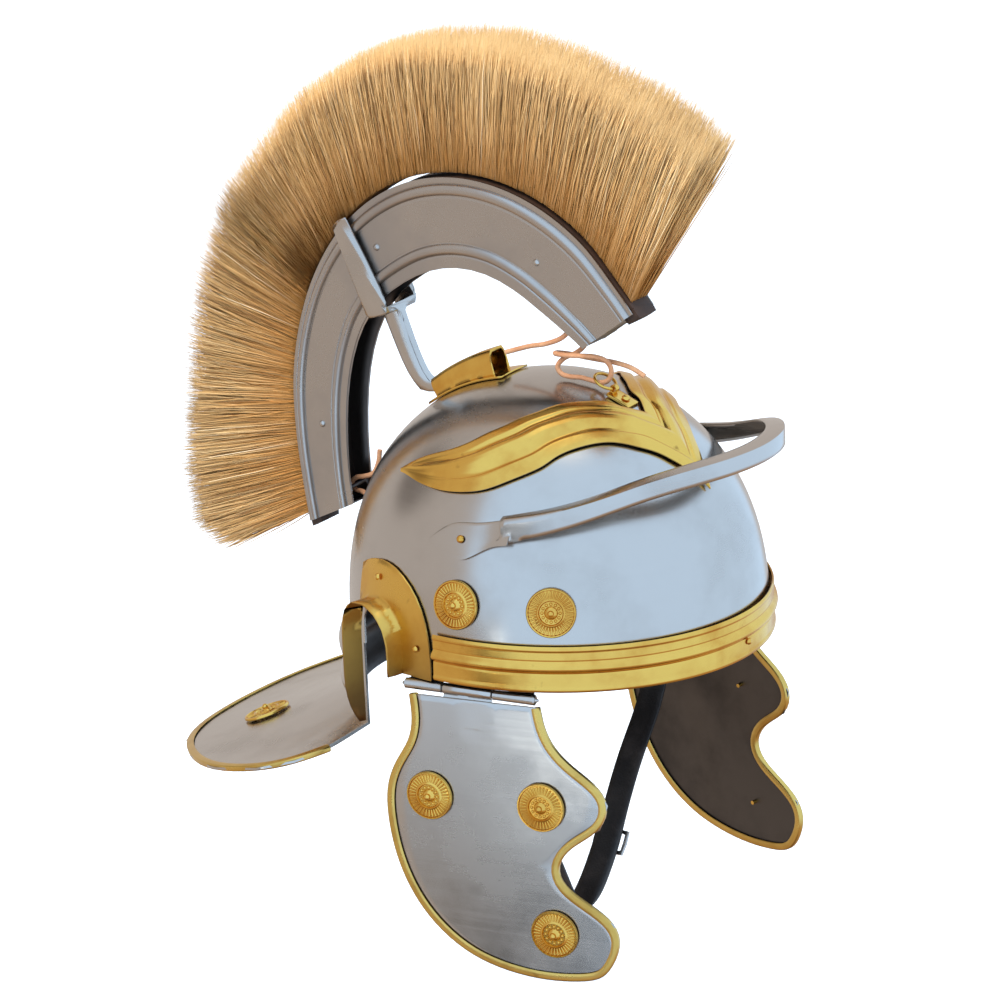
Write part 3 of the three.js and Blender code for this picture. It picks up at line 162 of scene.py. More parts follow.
backThongRoute = [
    (5, 114, 71), (4.4, 115, 64), (3.6, 118, 58), (2.8, 123.4, 55.6), (2.3, 128.2, 54.4), (1.9, 131, 51.2),
    (1.6, 128.8, 47.7), (1.2, 124.4, 47.6), (0.9, 120.4, 45.6), (0.6, 119.8, 40.5), (0, 117.2, 36.2),
    (-2.2, 116.4, 31), (-4.6, 117, 24.5), (-4, 120.5, 19.5), (-0.5, 122.5, 20.5), (1.5, 123.5, 26),
    (2, 126.5, 33),
]


def thongPiece(name, route, node):
    line = smoothLine([rimPoint(*p) for p in route], thong["gapSteps"])
    data = bpy.data.curves.new(name, "CURVE")
    data.dimensions = "3D"
    spline = data.splines.new("POLY")
    spline.points.add(len(line) - 1)
    for spot, p in zip(spline.points, line):
        spot.co = (*p, 1)
        spot.radius = thong["diameter"] * mm / 2
    data.bevel_depth = 1
    data.bevel_resolution = 4
    data.use_fill_caps = True
    piece = bpy.data.objects.new(name, data)
    bpy.context.scene.collection.objects.link(piece)
    lineLength(line)
    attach(piece, "helmet")
    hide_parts(node)
    return piece


frontThong = thongPiece("front_lace", frontThongRoute, "front_thong")
backThong = thongPiece("back_lace", backThongRoute, "back_thong")
print("thongs laid")


# ---- materials
class Value:
    def __init__(self, net, socket):
        self.net = net
        self.socket = socket

    def math(self, operation, other, flip=False):
        pair = [other, self] if flip else [self, other]
        return self.net.node("ShaderNodeMath", {"operation": operation}, dict(enumerate(pair)))

    def __add__(self, other):
        return self.math("ADD", other)

    def __radd__(self, other):
        return self.math("ADD", other, True)

    def __sub__(self, other):
        return self.math("SUBTRACT", other)

    def __mul__(self, other):
        return self.math("MULTIPLY", other)


class Net:
    def __init__(self, tree):
        self.tree = tree
        tree.nodes.clear()

    def node(self, kind, settings=None, inputs=None, output=0):
        made = self.tree.nodes.new(kind)
        for key, value in (settings or {}).items():
            if key == "stops":
                ramp = made.color_ramp
                while len(ramp.elements) < len(value):
                    ramp.elements.new(0.5)
                for element, (place, colour) in zip(ramp.elements, value):
                    element.position = place
                    element.color = (*colour, 1)
            else:
                setattr(made, key, value)
        for key, value in (inputs or {}).items():
            if isinstance(value, Value):
                self.tree.links.new(value.socket, made.inputs[key])
            else:
                made.inputs[key].default_value = value
        return Value(self, made.outputs[output]) if len(made.outputs) else None

    def place(self, scale=(1, 1, 1), turn=(0, 0, 0)):
        spot = self.node("ShaderNodeTexCoord", output="Object")
        return self.node("ShaderNodeMapping", None, {"Vector": spot, "Scale": scale, "Rotation": turn})

    def noise(self, scale, detail=4, rough=0.55, stretch=(1, 1, 1), turn=(0, 0, 0)):
        return self.node("ShaderNodeTexNoise", None, {
            "Vector": self.place(stretch, turn), "Scale": scale, "Detail": detail, "Roughness": rough})

    def span(self, value, low, high, first=0.0, last=1.0):
        return self.node("ShaderNodeMapRange", {"interpolation_type": "SMOOTHSTEP"}, {
            "Value": value, "From Min": low, "From Max": high, "To Min": first, "To Max": last})

    def mix(self, factor, first, second):
        return self.node("ShaderNodeMix", {"data_type": "RGBA", "blend_type": "MIX"}, {
            0: factor, 6: first, 7: second}, 2)

    def bump(self, height, strength, distance):
        return self.node("ShaderNodeBump", None, {
            "Height": height, "Strength": strength, "Distance": distance})

    def finish(self, settings):
        shader = self.node("ShaderNodeBsdfPrincipled", None, settings)
        self.node("ShaderNodeOutputMaterial", None, {"Surface": shader})


def newMaterial(name):
    material = bpy.data.materials.new(name)
    material.use_nodes = True
    return material, Net(material.node_tree)


def rgb(red, green, blue):
    def linear(v):
        v = v / 255
        return v / 12.92 if v <= 0.04045 else ((v + 0.055) / 1.055) ** 2.4
    return (linear(red), linear(green), linear(blue))


def rgba(red, green, blue):
    return (*rgb(red, green, blue), 1)


steelLook = {"clean": rgba(196, 190, 184), "stained": rgba(172, 164, 156), "roughness": 0.2}
brassLook = {"bright": rgba(232, 186, 92), "warm": rgba(194, 122, 38), "roughness": 0.13}


def steelMaterial(name, clean, stained, roughness, grain=(3, 3, 420), scratches=0.2):
    material, net = newMaterial(name)
    cloud = net.noise(16, 5, 0.6)
    mottle = net.noise(160, 3, 0.6)
    brushed = net.noise(1.6, 4, 0.65, grain)
    stain = net.span(cloud, 0.42, 0.72)
    colour = net.mix(stain * 0.4 + mottle * 0.06, clean, stained)
    scored = net.span(net.noise(2.2, 2, 0.5, (18, 260, 18), (0.5, 0.3, 0.9)), 0.70, 0.76) * scratches
    net.finish({
        "Base Color": colour,
        "Metallic": 1.0,
        "Roughness": roughness + stain * 0.1 + brushed * 0.09 + scored * 0.12 - 0.04,
        "Normal": net.bump(brushed * 0.5 + mottle * 0.08 - scored * 0.2, 0.09, 0.0002),
    })
    return material


def brassMaterial(name, bright, warm, roughness, heat=None):
    material, net = newMaterial(name)
    cloud = net.noise(26, 4, 0.6)
    mottle = net.noise(210, 3, 0.6)
    wavy = net.noise(48, 2, 0.5)
    colour = net.mix(net.span(cloud, 0.4, 0.75) * 0.7, bright, warm)
    spot = net.span(net.noise(75, 3, 0.7), 0.66, 0.78)
    colour = net.mix(spot * 0.55, colour, rgba(116, 74, 30))
    rough = roughness + cloud * 0.12 + mottle * 0.06
    if heat:
        level = net.node("ShaderNodeSeparateXYZ", None, {"Vector": net.place()}, 2)
        burnt = net.span(level + net.noise(30, 4, 0.6) * 0.03, heat[0], heat[1], 1, 0)
        colour = net.mix(burnt * 0.85, colour, rgba(92, 62, 42))
        rough = rough + burnt * 0.22
    net.finish({
        "Base Color": colour,
        "Metallic": 1.0,
        "Roughness": rough,
        "Normal": net.bump(wavy * 0.7 + mottle * 0.2, 0.18, 0.0004),
    })
    return material


def leatherMaterial(name, base, worn, roughness, pores):
    material, net = newMaterial(name)
    cells = net.node("ShaderNodeTexVoronoi", {"feature": "F1"}, {"Vector": net.place(), "Scale": pores})
    cloud = net.noise(60, 5, 0.65)
    net.finish({
        "Base Color": net.mix(net.span(cloud, 0.35, 0.75), base, worn),
        "Roughness": roughness + cloud * 0.18,
        "Normal": net.bump(cells * 0.7 + cloud * 0.4, 0.35, 0.0004),
    })
    return material


def hairMaterial(name):
    material, net = newMaterial(name)
    tone = net.node("ShaderNodeAttribute", {"attribute_name": "tone"}, None, "Fac")
    along = net.node("ShaderNodeAttribute", {"attribute_name": "along"}, None, "Fac")
    shade = net.node("ShaderNodeValToRGB", {"stops": [
        (0.0, rgb(110, 70, 34)), (0.22, rgb(170, 122, 66)), (0.5, rgb(206, 160, 98)),
        (0.78, rgb(226, 188, 132)), (1.0, rgb(246, 224, 184))]}, {"Fac": tone})
    # darker towards the roots is painted shade among the packed hairs, and lighter towards the tips is
    # painted light on their outer ends
    rootShade = net.span(along, 0.0, 0.7, 0.75, 0.0)
    tip = net.span(along, 0.6, 1.0, 0.0, 0.3)
    colour = net.mix(rootShade, shade, rgba(178, 116, 50))
    net.finish({
        "Base Color": net.mix(tip, colour, rgba(240, 208, 154)),
        "Roughness": 0.5 + tone * 0.15,
        "Specular IOR Level": 0.35,
    })
    return material


def coreMaterial(name):
    material, net = newMaterial(name)
    streak = net.noise(30, 4, 0.7, (6, 2, 2))
    net.finish({
        "Base Color": net.mix(net.span(streak, 0.35, 0.7), rgba(176, 122, 60), rgba(214, 166, 98)),
        "Roughness": 0.8,
        "Normal": net.bump(streak, 0.5, 0.002),
    })
    return material


def woodMaterial(name):
    material, net = newMaterial(name)
    grainLine = net.noise(12, 5, 0.7, (2, 2, 14))
    net.finish({
        "Base Color": net.mix(grainLine, rgba(34, 22, 16), rgba(74, 50, 34)),
        "Roughness": 0.62 + grainLine * 0.2,
        "Normal": net.bump(grainLine, 0.3, 0.0006),
    })
    return material


steel = steelMaterial("brushed_steel", steelLook["clean"], steelLook["stained"], steelLook["roughness"])
# a darker steel for inward faces: its dark colour is painted shade for the shade inside the bowl, in the
# crest box's channel and behind the cheek guards
shadedSteel = steelMaterial("inner_steel", rgba(96, 90, 86), rgba(52, 46, 42), 0.42, (40, 40, 40), 0.2)
boxSteel = steelMaterial("crest_steel", rgba(188, 181, 175), rgba(156, 147, 140), 0.26, (3, 160, 160))
brass = brassMaterial("polished_brass", brassLook["bright"], brassLook["warm"], brassLook["roughness"])
paleBrass = brassMaterial("edge_brass", rgba(222, 186, 102), rgba(178, 132, 58), 0.2)
earBrass = brassMaterial("ear_brass", brassLook["bright"], brassLook["warm"], 0.2, (-0.15, -0.075))
blackLeather = leatherMaterial("black_leather", rgba(27, 22, 20), rgba(52, 44, 40), 0.45, 900)
rawhide = leatherMaterial("rawhide", rgba(180, 124, 86), rgba(204, 154, 114), 0.62, 1400)
hair = hairMaterial("horsehair")
hairCore = coreMaterial("horsehair_core")
darkWood = woodMaterial("dark_wood")
print("materials mixed")


def dress(piece, material):
    piece.data.materials.clear()
    piece.data.materials.append(material)


dress(frontThong, rawhide)
dress(backThong, rawhide)


def nodeBody(node):
    for body, nodes in frame["record"]["behaviour"]["bodies"].items():
        if node in nodes:
            return body


def standFor(piece, node, material):
    dress(piece, material)
    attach(piece, nodeBody(node))
    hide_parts(node)


# a welded copy of a CAD piece, in quads, its hard corners kept while the rest is rounded off
def softCopy(node, name, levels, sharp):
    piece = bpy.data.objects.new(name, bpy.data.objects[node].data.copy())
    bpy.context.scene.collection.objects.link(piece)
    activate(piece)
    bpy.ops.object.mode_set(mode="EDIT")
    bpy.ops.mesh.select_all(action="SELECT")
    bpy.ops.mesh.remove_doubles(threshold=weldGap)
    bpy.ops.mesh.tris_convert_to_quads(face_threshold=math.radians(50), shape_threshold=math.radians(60))
    bpy.ops.mesh.select_all(action="DESELECT")
    bpy.ops.mesh.select_mode(type="EDGE")
    bpy.ops.mesh.edges_select_sharp(sharpness=math.radians(sharp))
    bpy.ops.transform.edge_crease(value=0.92)
    bpy.ops.object.mode_set(mode="OBJECT")
    rounded = piece.modifiers.new("rounded", "SUBSURF")
    rounded.levels = rounded.render_levels = levels
    applyModifiers(piece)
    shadeByAngle(piece, 40)
    return piece


# ---- bowl, nape and neck guard in one sheet
bowl = {"halfLength": 112.0, "halfWidth": 101.5, "height": 130.2, "wall": 1.2, "fullness": 2.46,
        "columns": 240, "domeRows": 34, "napeRows": 30, "guardRows": 8}
ear = {"centreY": 47.0, "radius": 17.2, "springZ": 11.5, "cut": 300.0, "post": 30.0}
nape = {"startAngle": 126.0, "swell": 6.8, "floorZ": -44.0, "runIn": 14.0, "soften": 1.6}
guard = {"reach": 212.0, "halfWidth": 134.0, "frontY": 70.0, "cornerZ": -50.0, "slope": 0.25,
         "sag": 3.2}
# height below the rim in mm, and the share of the full swell there
napeRows = [
    (0, 0), (-4, 0.7), (-10, 1), (-16, 0.8), (-20, 0.2), (-24, 0.8), (-30, 1), (-36, 0.7), (-41, 0.15),
    (-44, 0),
]
# angle round the bowl, and the guard's edge there as shares of its half width and of its reach
guardEdge = [
    (126, 0.79, 0.345), (130.5, 0.935, 0.385), (135, 1, 0.47), (144, 0.955, 0.63), (153, 0.78, 0.785),
    (162, 0.56, 0.912), (171, 0.3, 0.982), (180, 0, 1),
]


def skin(angle, z, off=0.0):
    rise = max(0.0, z) / (bowl["height"] + off)
    shrink = math.sqrt(max(0.0, 1 - rise ** bowl["fullness"]))
    turn = math.radians(angle)
    return Vector(((bowl["halfWidth"] + off) * shrink * math.sin(turn),
                   -(bowl["halfLength"] + off) * shrink * math.cos(turn), z))


def dome(x, y, off=0.0):
    share = math.hypot(x / (bowl["halfWidth"] + off), y / (bowl["halfLength"] + off))
    z = (bowl["height"] + off) * max(0.0, 1 - share**2) ** (1 / bowl["fullness"])
    return Vector((x, y, z))


def between(rows, value):
    for a, b in zip(rows, rows[1:]):
        if a[0] <= value <= b[0] or b[0] <= value <= a[0]:
            t = 0 if a[0] == b[0] else (value - a[0]) / (b[0] - a[0])
            return [blendNumbers(p, q, t) for p, q in zip(a, b)]
    return list(rows[-1] if abs(value - rows[-1][0]) < abs(value - rows[0][0]) else rows[0])


def guardPoint(angle, share):
    foot = skin(angle, nape["floorZ"] - 1)
    _, across, along = between(guardEdge, abs(angle))
    y = along * guard["reach"]
    edge = Vector((math.copysign(across * guard["halfWidth"], angle), y,
                   guard["cornerZ"] - guard["slope"] * (y - guard["frontY"])))
    spot = foot.lerp(edge, share)
    sag = guard["sag"] * math.sin(math.pi * share) * min(1, (abs(angle) - nape["startAngle"]) / 15 + 0.2)
    return Vector((spot.x, spot.y, spot.z - sag))


def napeSwell(angle, z):
    ring = smoothStep(nape["startAngle"], nape["startAngle"] + nape["runIn"], abs(angle))
    middle = between(napeRows, z)[1]
    near = [between(napeRows, max(nape["floorZ"], min(0, z + step)))[1]
            for step in (-nape["soften"], nape["soften"])]
    return nape["swell"] * (middle + sum(near)) / 3 * ring


# lays a flat grid of faces over a form: place takes the column's and the row's share
def layGrid(name, columns, rows, place, leaveOut=None):
    clearSelection()
    bpy.ops.mesh.primitive_grid_add(x_subdivisions=columns, y_subdivisions=rows, size=2, location=(0, 0, 0))
    piece = bpy.context.object
    piece.name = name
    piece.data.name = name
    if leaveOut:
        deleteFaces(piece, lambda face: leaveOut((face.center.x + 1) / 2, (face.center.y + 1) / 2))
    for vertex in piece.data.vertices:
        spot = place((vertex.co.x + 1) / 2, (vertex.co.y + 1) / 2)
        vertex.co = rimPoint(*spot)
    return piece


def selectFaces(piece, chosen):
    for vertex in piece.data.vertices:
        vertex.select = False
    for edge in piece.data.edges:
        edge.select = False
    for face in piece.data.polygons:
        face.select = chosen(face)


def deleteFaces(piece, chosen):
    activate(piece)
    selectFaces(piece, chosen)
    bpy.ops.object.mode_set(mode="EDIT")
    bpy.ops.mesh.select_mode(type="FACE")
    bpy.ops.mesh.delete(type="FACE")
    bpy.ops.object.mode_set(mode="OBJECT")


def weld(piece, distance=weldGap):
    activate(piece)
    bpy.ops.object.mode_set(mode="EDIT")
    bpy.ops.mesh.select_all(action="SELECT")
    bpy.ops.mesh.remove_doubles(threshold=distance)
    bpy.ops.mesh.normals_make_consistent(inside=False)
    bpy.ops.object.mode_set(mode="OBJECT")


# turns an open sheet's faces away from a point inside it
def faceOut(piece, inside):
    if sum((face.center - inside).dot(face.normal) * face.area for face in piece.data.polygons) < 0:
        activate(piece)
        bpy.ops.object.mode_set(mode="EDIT")
        bpy.ops.mesh.select_all(action="SELECT")
        bpy.ops.mesh.flip_normals()
        bpy.ops.object.mode_set(mode="OBJECT")


def thicken(piece, wall, innerMaterial=None):
    sheet = piece.modifiers.new("wall", "SOLIDIFY")
    sheet.thickness = wall
    sheet.offset = -1
    sheet.use_even_offset = True
    if innerMaterial:
        piece.data.materials.append(innerMaterial)
        sheet.material_offset = 1
    applyModifiers(piece)


def makeBowl():
    total = bowl["domeRows"] + bowl["napeRows"] + bowl["guardRows"]

    def place(u, v):
        angle = -180 + 360 * u
        row = round(v * total)
        if row <= bowl["domeRows"]:
            lift = math.radians(90 * (1 - row / bowl["domeRows"]))
            return skin(angle, bowl["height"] * math.sin(lift))
        if row <= bowl["domeRows"] + bowl["napeRows"]:
            z = nape["floorZ"] * (row - bowl["domeRows"]) / bowl["napeRows"]
            return skin(angle, z, napeSwell(angle, z))
        if abs(angle) < nape["startAngle"]:
            return skin(angle, nape["floorZ"])
        return guardPoint(angle, (row - bowl["domeRows"] - bowl["napeRows"]) / bowl["guardRows"])

    def belowRim(u, v):
        return v * total > bowl["domeRows"] and abs(-180 + 360 * u) < nape["startAngle"]

    piece = layGrid("bowl_sheet", bowl["columns"], total, place, belowRim)
    weld(piece)
    faceOut(piece, rimPoint(0, 0, 0))
    # ear arches: a bar with a round top, pushed through from side to side
    clearSelection()
    bpy.ops.mesh.primitive_cylinder_add(vertices=64, radius=ear["radius"] * mm, depth=ear["cut"] * mm,
                                        location=rimPoint(0, ear["centreY"], ear["springZ"]),
                                        rotation=(0, math.radians(90), 0))
    cutter = bpy.context.object
    bakePlace(cutter)
    clearSelection()
    postMiddle = ear["springZ"] - ear["post"] / 2
    bpy.ops.mesh.primitive_cube_add(size=1, location=rimPoint(0, ear["centreY"], postMiddle),
                                    scale=(ear["cut"] * mm, 2 * ear["radius"] * mm, ear["post"] * mm))
    post = bpy.context.object
    bakePlace(post)
    dress(piece, steel)
    # the inner wall takes the darker steel, painted shade inside the bowl and under the neck guard
    thicken(piece, bowl["wall"] * mm, shadedSteel)
    for tool in (cutter, post):
        arch = piece.modifiers.new("arch", "BOOLEAN")
        arch.operation = "DIFFERENCE"
        arch.solver = "EXACT"
        arch.object = tool
    applyModifiers(piece)
    for tool in (cutter, post):
        bpy.data.objects.remove(tool)
    shadeByAngle(piece, 40)
    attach(piece, "helmet")
    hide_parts("bowl")


makeBowl()
print("bowl made")

# ---- sheet brass and steel pieces, rounded from their CAD forms
# node, material, slot, levels of rounding, and the angle in degrees from which a corner stays hard
plainPieces = [
    ("visor", steel, "steel", 2, 40),
    ("neck_guard_trim", paleBrass, "brass", 2, 60),
    ("crest_box", boxSteel, "steel", 1, 60),
    ("crest_fork", steel, "steel", 1, 40),
    ("fork_holder", brass, "brass", 1, 40),
    ("front_tie_plate", brass, "brass", 2, 50),
    ("front_ring", brass, "brass", 2, 80),
    ("back_tie_plate", steel, "steel", 2, 50),
    ("back_ring", steel, "steel", 2, 80),
    ("brow_band_rivet", brass, "brass", 2, 60),
    ("front_tie_rivet", brass, "brass", 2, 60),
    ("crest_rivet_front", steel, "steel", 2, 60),
    ("crest_rivet_middle", steel, "steel", 2, 60),
    ("crest_rivet_rear", steel, "steel", 2, 60),
    ("crest_base", darkWood, "wood", 1, 40),
    ("chin_strap", blackLeather, "leather", 2, 40),
    ("strap_buckle", steel, "steel", 1, 40),
]
for side in ("right_", "left_"):
    plainPieces += [
        (side + "ear_guard", earBrass, "brass", 1, 50),
        (side + "ear_rivet_rear", brass, "brass", 2, 60),
        (side + "ear_rivet_front", brass, "brass", 2, 60),
        (side + "visor_rivet", brass, "brass", 2, 60),
        (side + "cheek_guard", steel, "steel", 2, 40),
        (side + "cheek_trim", paleBrass, "brass", 2, 60),
        (side + "hinge_leaf_rear", steel, "steel", 1, 40),
        (side + "hinge_leaf_front", steel, "steel", 1, 40),
        (side + "hinge_pin", steel, "steel", 1, 40),
    ]
for node, material, slot, levels, sharp in plainPieces:
    piece = softCopy(node, node + "_form", levels, sharp)
    standFor(piece, node, material)
print("sheet pieces rounded")


# the faces that look inward take a darker steel, painted shade where shade falls inside
def paintInnerShade(piece, isInner):
    piece.data.materials.append(shadedSteel)
    for face in piece.data.polygons:
        if isInner(face):
            face.material_index = 1


# the crest box's own sides stay just inside the pressed ones that are laid over them
boxForm = {"half": 9.6, "shadeHalf": 8.9}
for vertex in bpy.data.objects["crest_box_form"].data.vertices:
    vertex.co.x = min(boxForm["half"] * mm, max(-boxForm["half"] * mm, vertex.co.x))
# painted shade: the inside of the crest box's channel and the cheek guards' inner faces take the darker
# steel
paintInnerShade(bpy.data.objects["crest_box_form"], lambda face: abs(face.center.x) < boxForm["shadeHalf"] * mm)
paintInnerShade(bpy.data.objects["right_cheek_guard_form"], lambda face: face.normal.x > 0.3)
paintInnerShade(bpy.data.objects["left_cheek_guard_form"], lambda face: face.normal.x < -0.3)

# ---- eyebrow plate: one sheet with a broad middle rib and a step along each edge
# lower and upper edge from the middle to the tip: across and along, as shares of the bowl's halves
browEdges = [
    (0, -0.84, 0, -0.505), (0.1, -0.731, 0.075, -0.43), (0.16, -0.662, 0.11, -0.365),
    (0.224, -0.601, 0.19, -0.295), (0.32, -0.503, 0.29, -0.21), (0.441, -0.412, 0.38, -0.152),
    (0.525, -0.355, 0.44, -0.103), (0.616, -0.302, 0.5, -0.055), (0.705, -0.205, 0.56, 0.015),
    (0.768, -0.1, 0.61, 0.08), (0.793, 0.007, 0.638, 0.15), (0.79, 0.134, 0.648, 0.225),
    (0.753, 0.266, 0.652, 0.325), (0.67, 0.425, 0.655, 0.432),
]
browPlate = {"columns": 260, "rows": 48, "gapSteps": 12, "lift": 1.1, "sheet": 0.9, "fade": 0.34,
             "crease": 0.5, "creaseHalf": 0.05, "tipSwell": 0.5}
# share of the way from the lower to the upper edge, and the rise there in mm
browRelief = [
    (0, 0.1), (0.05, 0.5), (0.2, 1.0), (0.25, 0.3), (0.29, 0.25), (0.34, 1.2), (0.42, 2.3), (0.5, 2.7),
    (0.58, 2.3), (0.66, 1.2), (0.71, 0.25), (0.75, 0.3), (0.8, 1.0), (0.95, 0.5), (1, 0.1),
]


def browSpot(across, along):
    return Vector((across * bowl["halfWidth"], along * bowl["halfLength"], 0))


def makeEyebrowPlate():
    low = smoothLine([browSpot(a, b) for a, b, _, _ in browEdges], browPlate["gapSteps"])
    high = smoothLine([browSpot(a, b) for _, _, a, b in browEdges], browPlate["gapSteps"])
    last = len(low) - 1

    def place(u, v):
        side = 2 * u - 1
        spot = abs(side) * last
        k = min(last - 1, int(spot))
        foot = low[k].lerp(low[k + 1], spot - k)
        head = high[k].lerp(high[k + 1], spot - k)
        x, y, _ = foot.lerp(head, v)
        # the relief dies out toward the pointed tip, where one fine crease is left
        fade = smoothStep(0, browPlate["fade"], 1 - abs(side))
        crease = browPlate["crease"] * math.exp(-((v - 0.5) / browPlate["creaseHalf"]) ** 2) * (1 - fade)
        crease *= smoothStep(0, 0.05, 1 - abs(side))
        swell = browPlate["tipSwell"] * math.sin(math.pi * v) * (1 - fade)
        rise = between(browRelief, v)[1] * fade + crease + swell
        return dome(math.copysign(x, side), y, browPlate["lift"] + browPlate["sheet"] + rise)

    piece = layGrid("eyebrow_sheet", browPlate["columns"], browPlate["rows"], place)
    weld(piece)
    faceOut(piece, rimPoint(0, 0, 0))
    thicken(piece, browPlate["sheet"] * mm)
    shadeByAngle(piece, 50)
    standFor(piece, "eyebrow_plate", brass)


makeEyebrowPlate()
print("eyebrow plate made")

# ---- brow band: flat strip with a lip above, a rolled bead and a lip below
browBand = {"columns": 150, "rows": 60, "endAngle": 93.6, "bottomZ": -2.5, "topZ": 21.5, "lift": 0.25,
            "sheet": 0.7, "soften": 0.008}
# share of the way up the band, and the rise there in mm
bandRelief = [
    (0, 1.2), (0.04, 1.7), (0.09, 1.7), (0.12, 1.3), (0.38, 1.2), (0.41, 0.8), (0.44, 1.6), (0.49, 2.8),
    (0.54, 3.1), (0.59, 2.8), (0.64, 1.6), (0.67, 0.8), (0.7, 1.2), (0.88, 1.3), (0.91, 1.8), (0.96, 1.8),
    (1, 1.2),
]


def makeBrowBand():
    def place(u, v):
        angle = browBand["endAngle"] * (2 * u - 1)
        z = blendNumbers(browBand["bottomZ"], browBand["topZ"], v)
        near = (v - browBand["soften"], v, v + browBand["soften"])
        rise = sum(between(bandRelief, min(1, max(0, share)))[1] for share in near) / 3
        return skin(angle, z, browBand["lift"] + browBand["sheet"] + rise)

    piece = layGrid("brow_band_sheet", browBand["columns"], browBand["rows"], place)
    faceOut(piece, rimPoint(0, 0, 0))
    thicken(piece, browBand["sheet"] * mm)
    shadeByAngle(piece, 50)
    standFor(piece, "brow_band", brass)


makeBrowBand()
print("brow band made")

# ---- rosettes: one is modelled, then copied to each place
rosette = {"radius": 12.6, "lift": 0.2, "segments": 72, "knobRadius": 1.7, "knobHeight": 3.1,
           "flutes": 36, "fluteRadius": 0.46, "fluteLength": 3.6, "fluteRing": 9.1, "fluteHeight": 1.1,
           "beads": 12, "beadRadius": 0.85, "beadRing": 4.5, "beadHeight": 1.2}
# from the rim to the middle: each step's rise and the radius that it ends on, in mm
rosetteSteps = [
    (0.8, 12.6), (0.6, 12.2), (0.0, 11.6), (-0.8, 11.2), (0.0, 10.8), (0.3, 7.4), (0.7, 6.9), (0.1, 6.3),
    (-0.8, 5.8), (0.0, 5.4), (0.0, 3.4), (0.6, 3.0), (0.6, 2.2), (0.35, 1.2), (0.1, 0.5),
]
prong = {"radius": 1.1, "length": 5.5, "middle": -1.6}


def onRing(turn, kind):
    ring = rosette[kind + "Ring"] * mm
    return (ring * math.cos(turn), ring * math.sin(turn), rosette[kind + "Height"] * mm)


def rosetteForm():
    clearSelection()
    bpy.ops.mesh.primitive_circle_add(vertices=rosette["segments"], radius=rosette["radius"] * mm,
                                      fill_type="NOTHING", location=(0, 0, rosette["lift"] * mm))
    disc = bpy.context.object
    bpy.ops.object.mode_set(mode="EDIT")
    bpy.ops.mesh.select_all(action="SELECT")
    radius = rosette["radius"]
    for rise, size in rosetteSteps:
        bpy.ops.mesh.extrude_edges_move(TRANSFORM_OT_translate={"value": (0, 0, rise * mm)})
        share = size / radius
        bpy.ops.transform.resize(value=(share, share, 1), center_override=(0, 0, 0))
        radius = size
    bpy.ops.mesh.merge(type="CENTER")
    bpy.ops.object.mode_set(mode="OBJECT")
    parts = [disc]
    for k in range(rosette["flutes"]):
        turn = 2 * math.pi * k / rosette["flutes"]
        clearSelection()
        bpy.ops.mesh.primitive_cylinder_add(
            vertices=8, radius=rosette["fluteRadius"] * mm, depth=rosette["fluteLength"] * mm,
            location=onRing(turn, "flute"), rotation=(0, math.radians(90), turn))
        parts.append(bpy.context.object)
    for k in range(rosette["beads"]):
        turn = 2 * math.pi * k / rosette["beads"]
        clearSelection()
        bpy.ops.mesh.primitive_ico_sphere_add(
            subdivisions=2, radius=rosette["beadRadius"] * mm, location=onRing(turn, "bead"))
        parts.append(bpy.context.object)
    clearSelection()
    bpy.ops.mesh.primitive_uv_sphere_add(segments=20, ring_count=12, radius=rosette["knobRadius"] * mm,
                                         location=(0, 0, rosette["knobHeight"] * mm))
    parts.append(bpy.context.object)
    clearSelection()
    for part in parts:
        part.select_set(True)
    bpy.context.view_layer.objects.active = disc
    bpy.ops.object.join()
    bakePlace(disc)
    weld(disc, 0.000001)
    shadeByAngle(disc, 50)
    return disc


def rosettePlace(node):
    spots = [v.co.copy() for v in bpy.data.objects[node].data.vertices]
    unique = {tuple(round(c, 6) for c in p): p for p in spots}
    points = list(unique.values())
    middle = sum(points, Vector()) / len(points)
    points.sort(key=lambda p: (p - middle).length)
    base, tip = points[0], points[1]
    normal = (tip - base).normalized()
    return Matrix.Translation(base) @ normal.to_track_quat("Z", "Y").to_matrix().to_4x4()


# the pin that holds a rosette shows on the guard's inner face
def addProng(piece, where):
    clearSelection()
    bpy.ops.mesh.primitive_cylinder_add(vertices=12, radius=prong["radius"] * mm,
                                        depth=prong["length"] * mm,
                                        location=(0, 0, prong["middle"] * mm))
    pin = bpy.context.object
    bakePlace(pin)
    pin.matrix_world = where
    bakePlace(pin)
    shadeByAngle(pin, 40)
    clearSelection()
    pin.select_set(True)
    piece.select_set(True)
    bpy.context.view_layer.objects.active = piece
    bpy.ops.object.join()


def makeRosettes():
    form = rosetteForm()
    names = []
    for side in ("right_", "left_"):
        names += [side + n for n in ("bowl_rosette_rear", "bowl_rosette_front", "guard_rosette",
                                     "cheek_rosette_rear", "cheek_rosette_front", "cheek_rosette_low")]
    for node in names:
        piece = bpy.data.objects.new(node + "_embossed", form.data.copy())
        bpy.context.scene.collection.objects.link(piece)
        piece.matrix_world = rosettePlace(node)
        bakePlace(piece)
        if "cheek" in node:
            addProng(piece, rosettePlace(node))
        standFor(piece, node, brass)
    bpy.data.objects.remove(form)


makeRosettes()
print("rosettes copied")

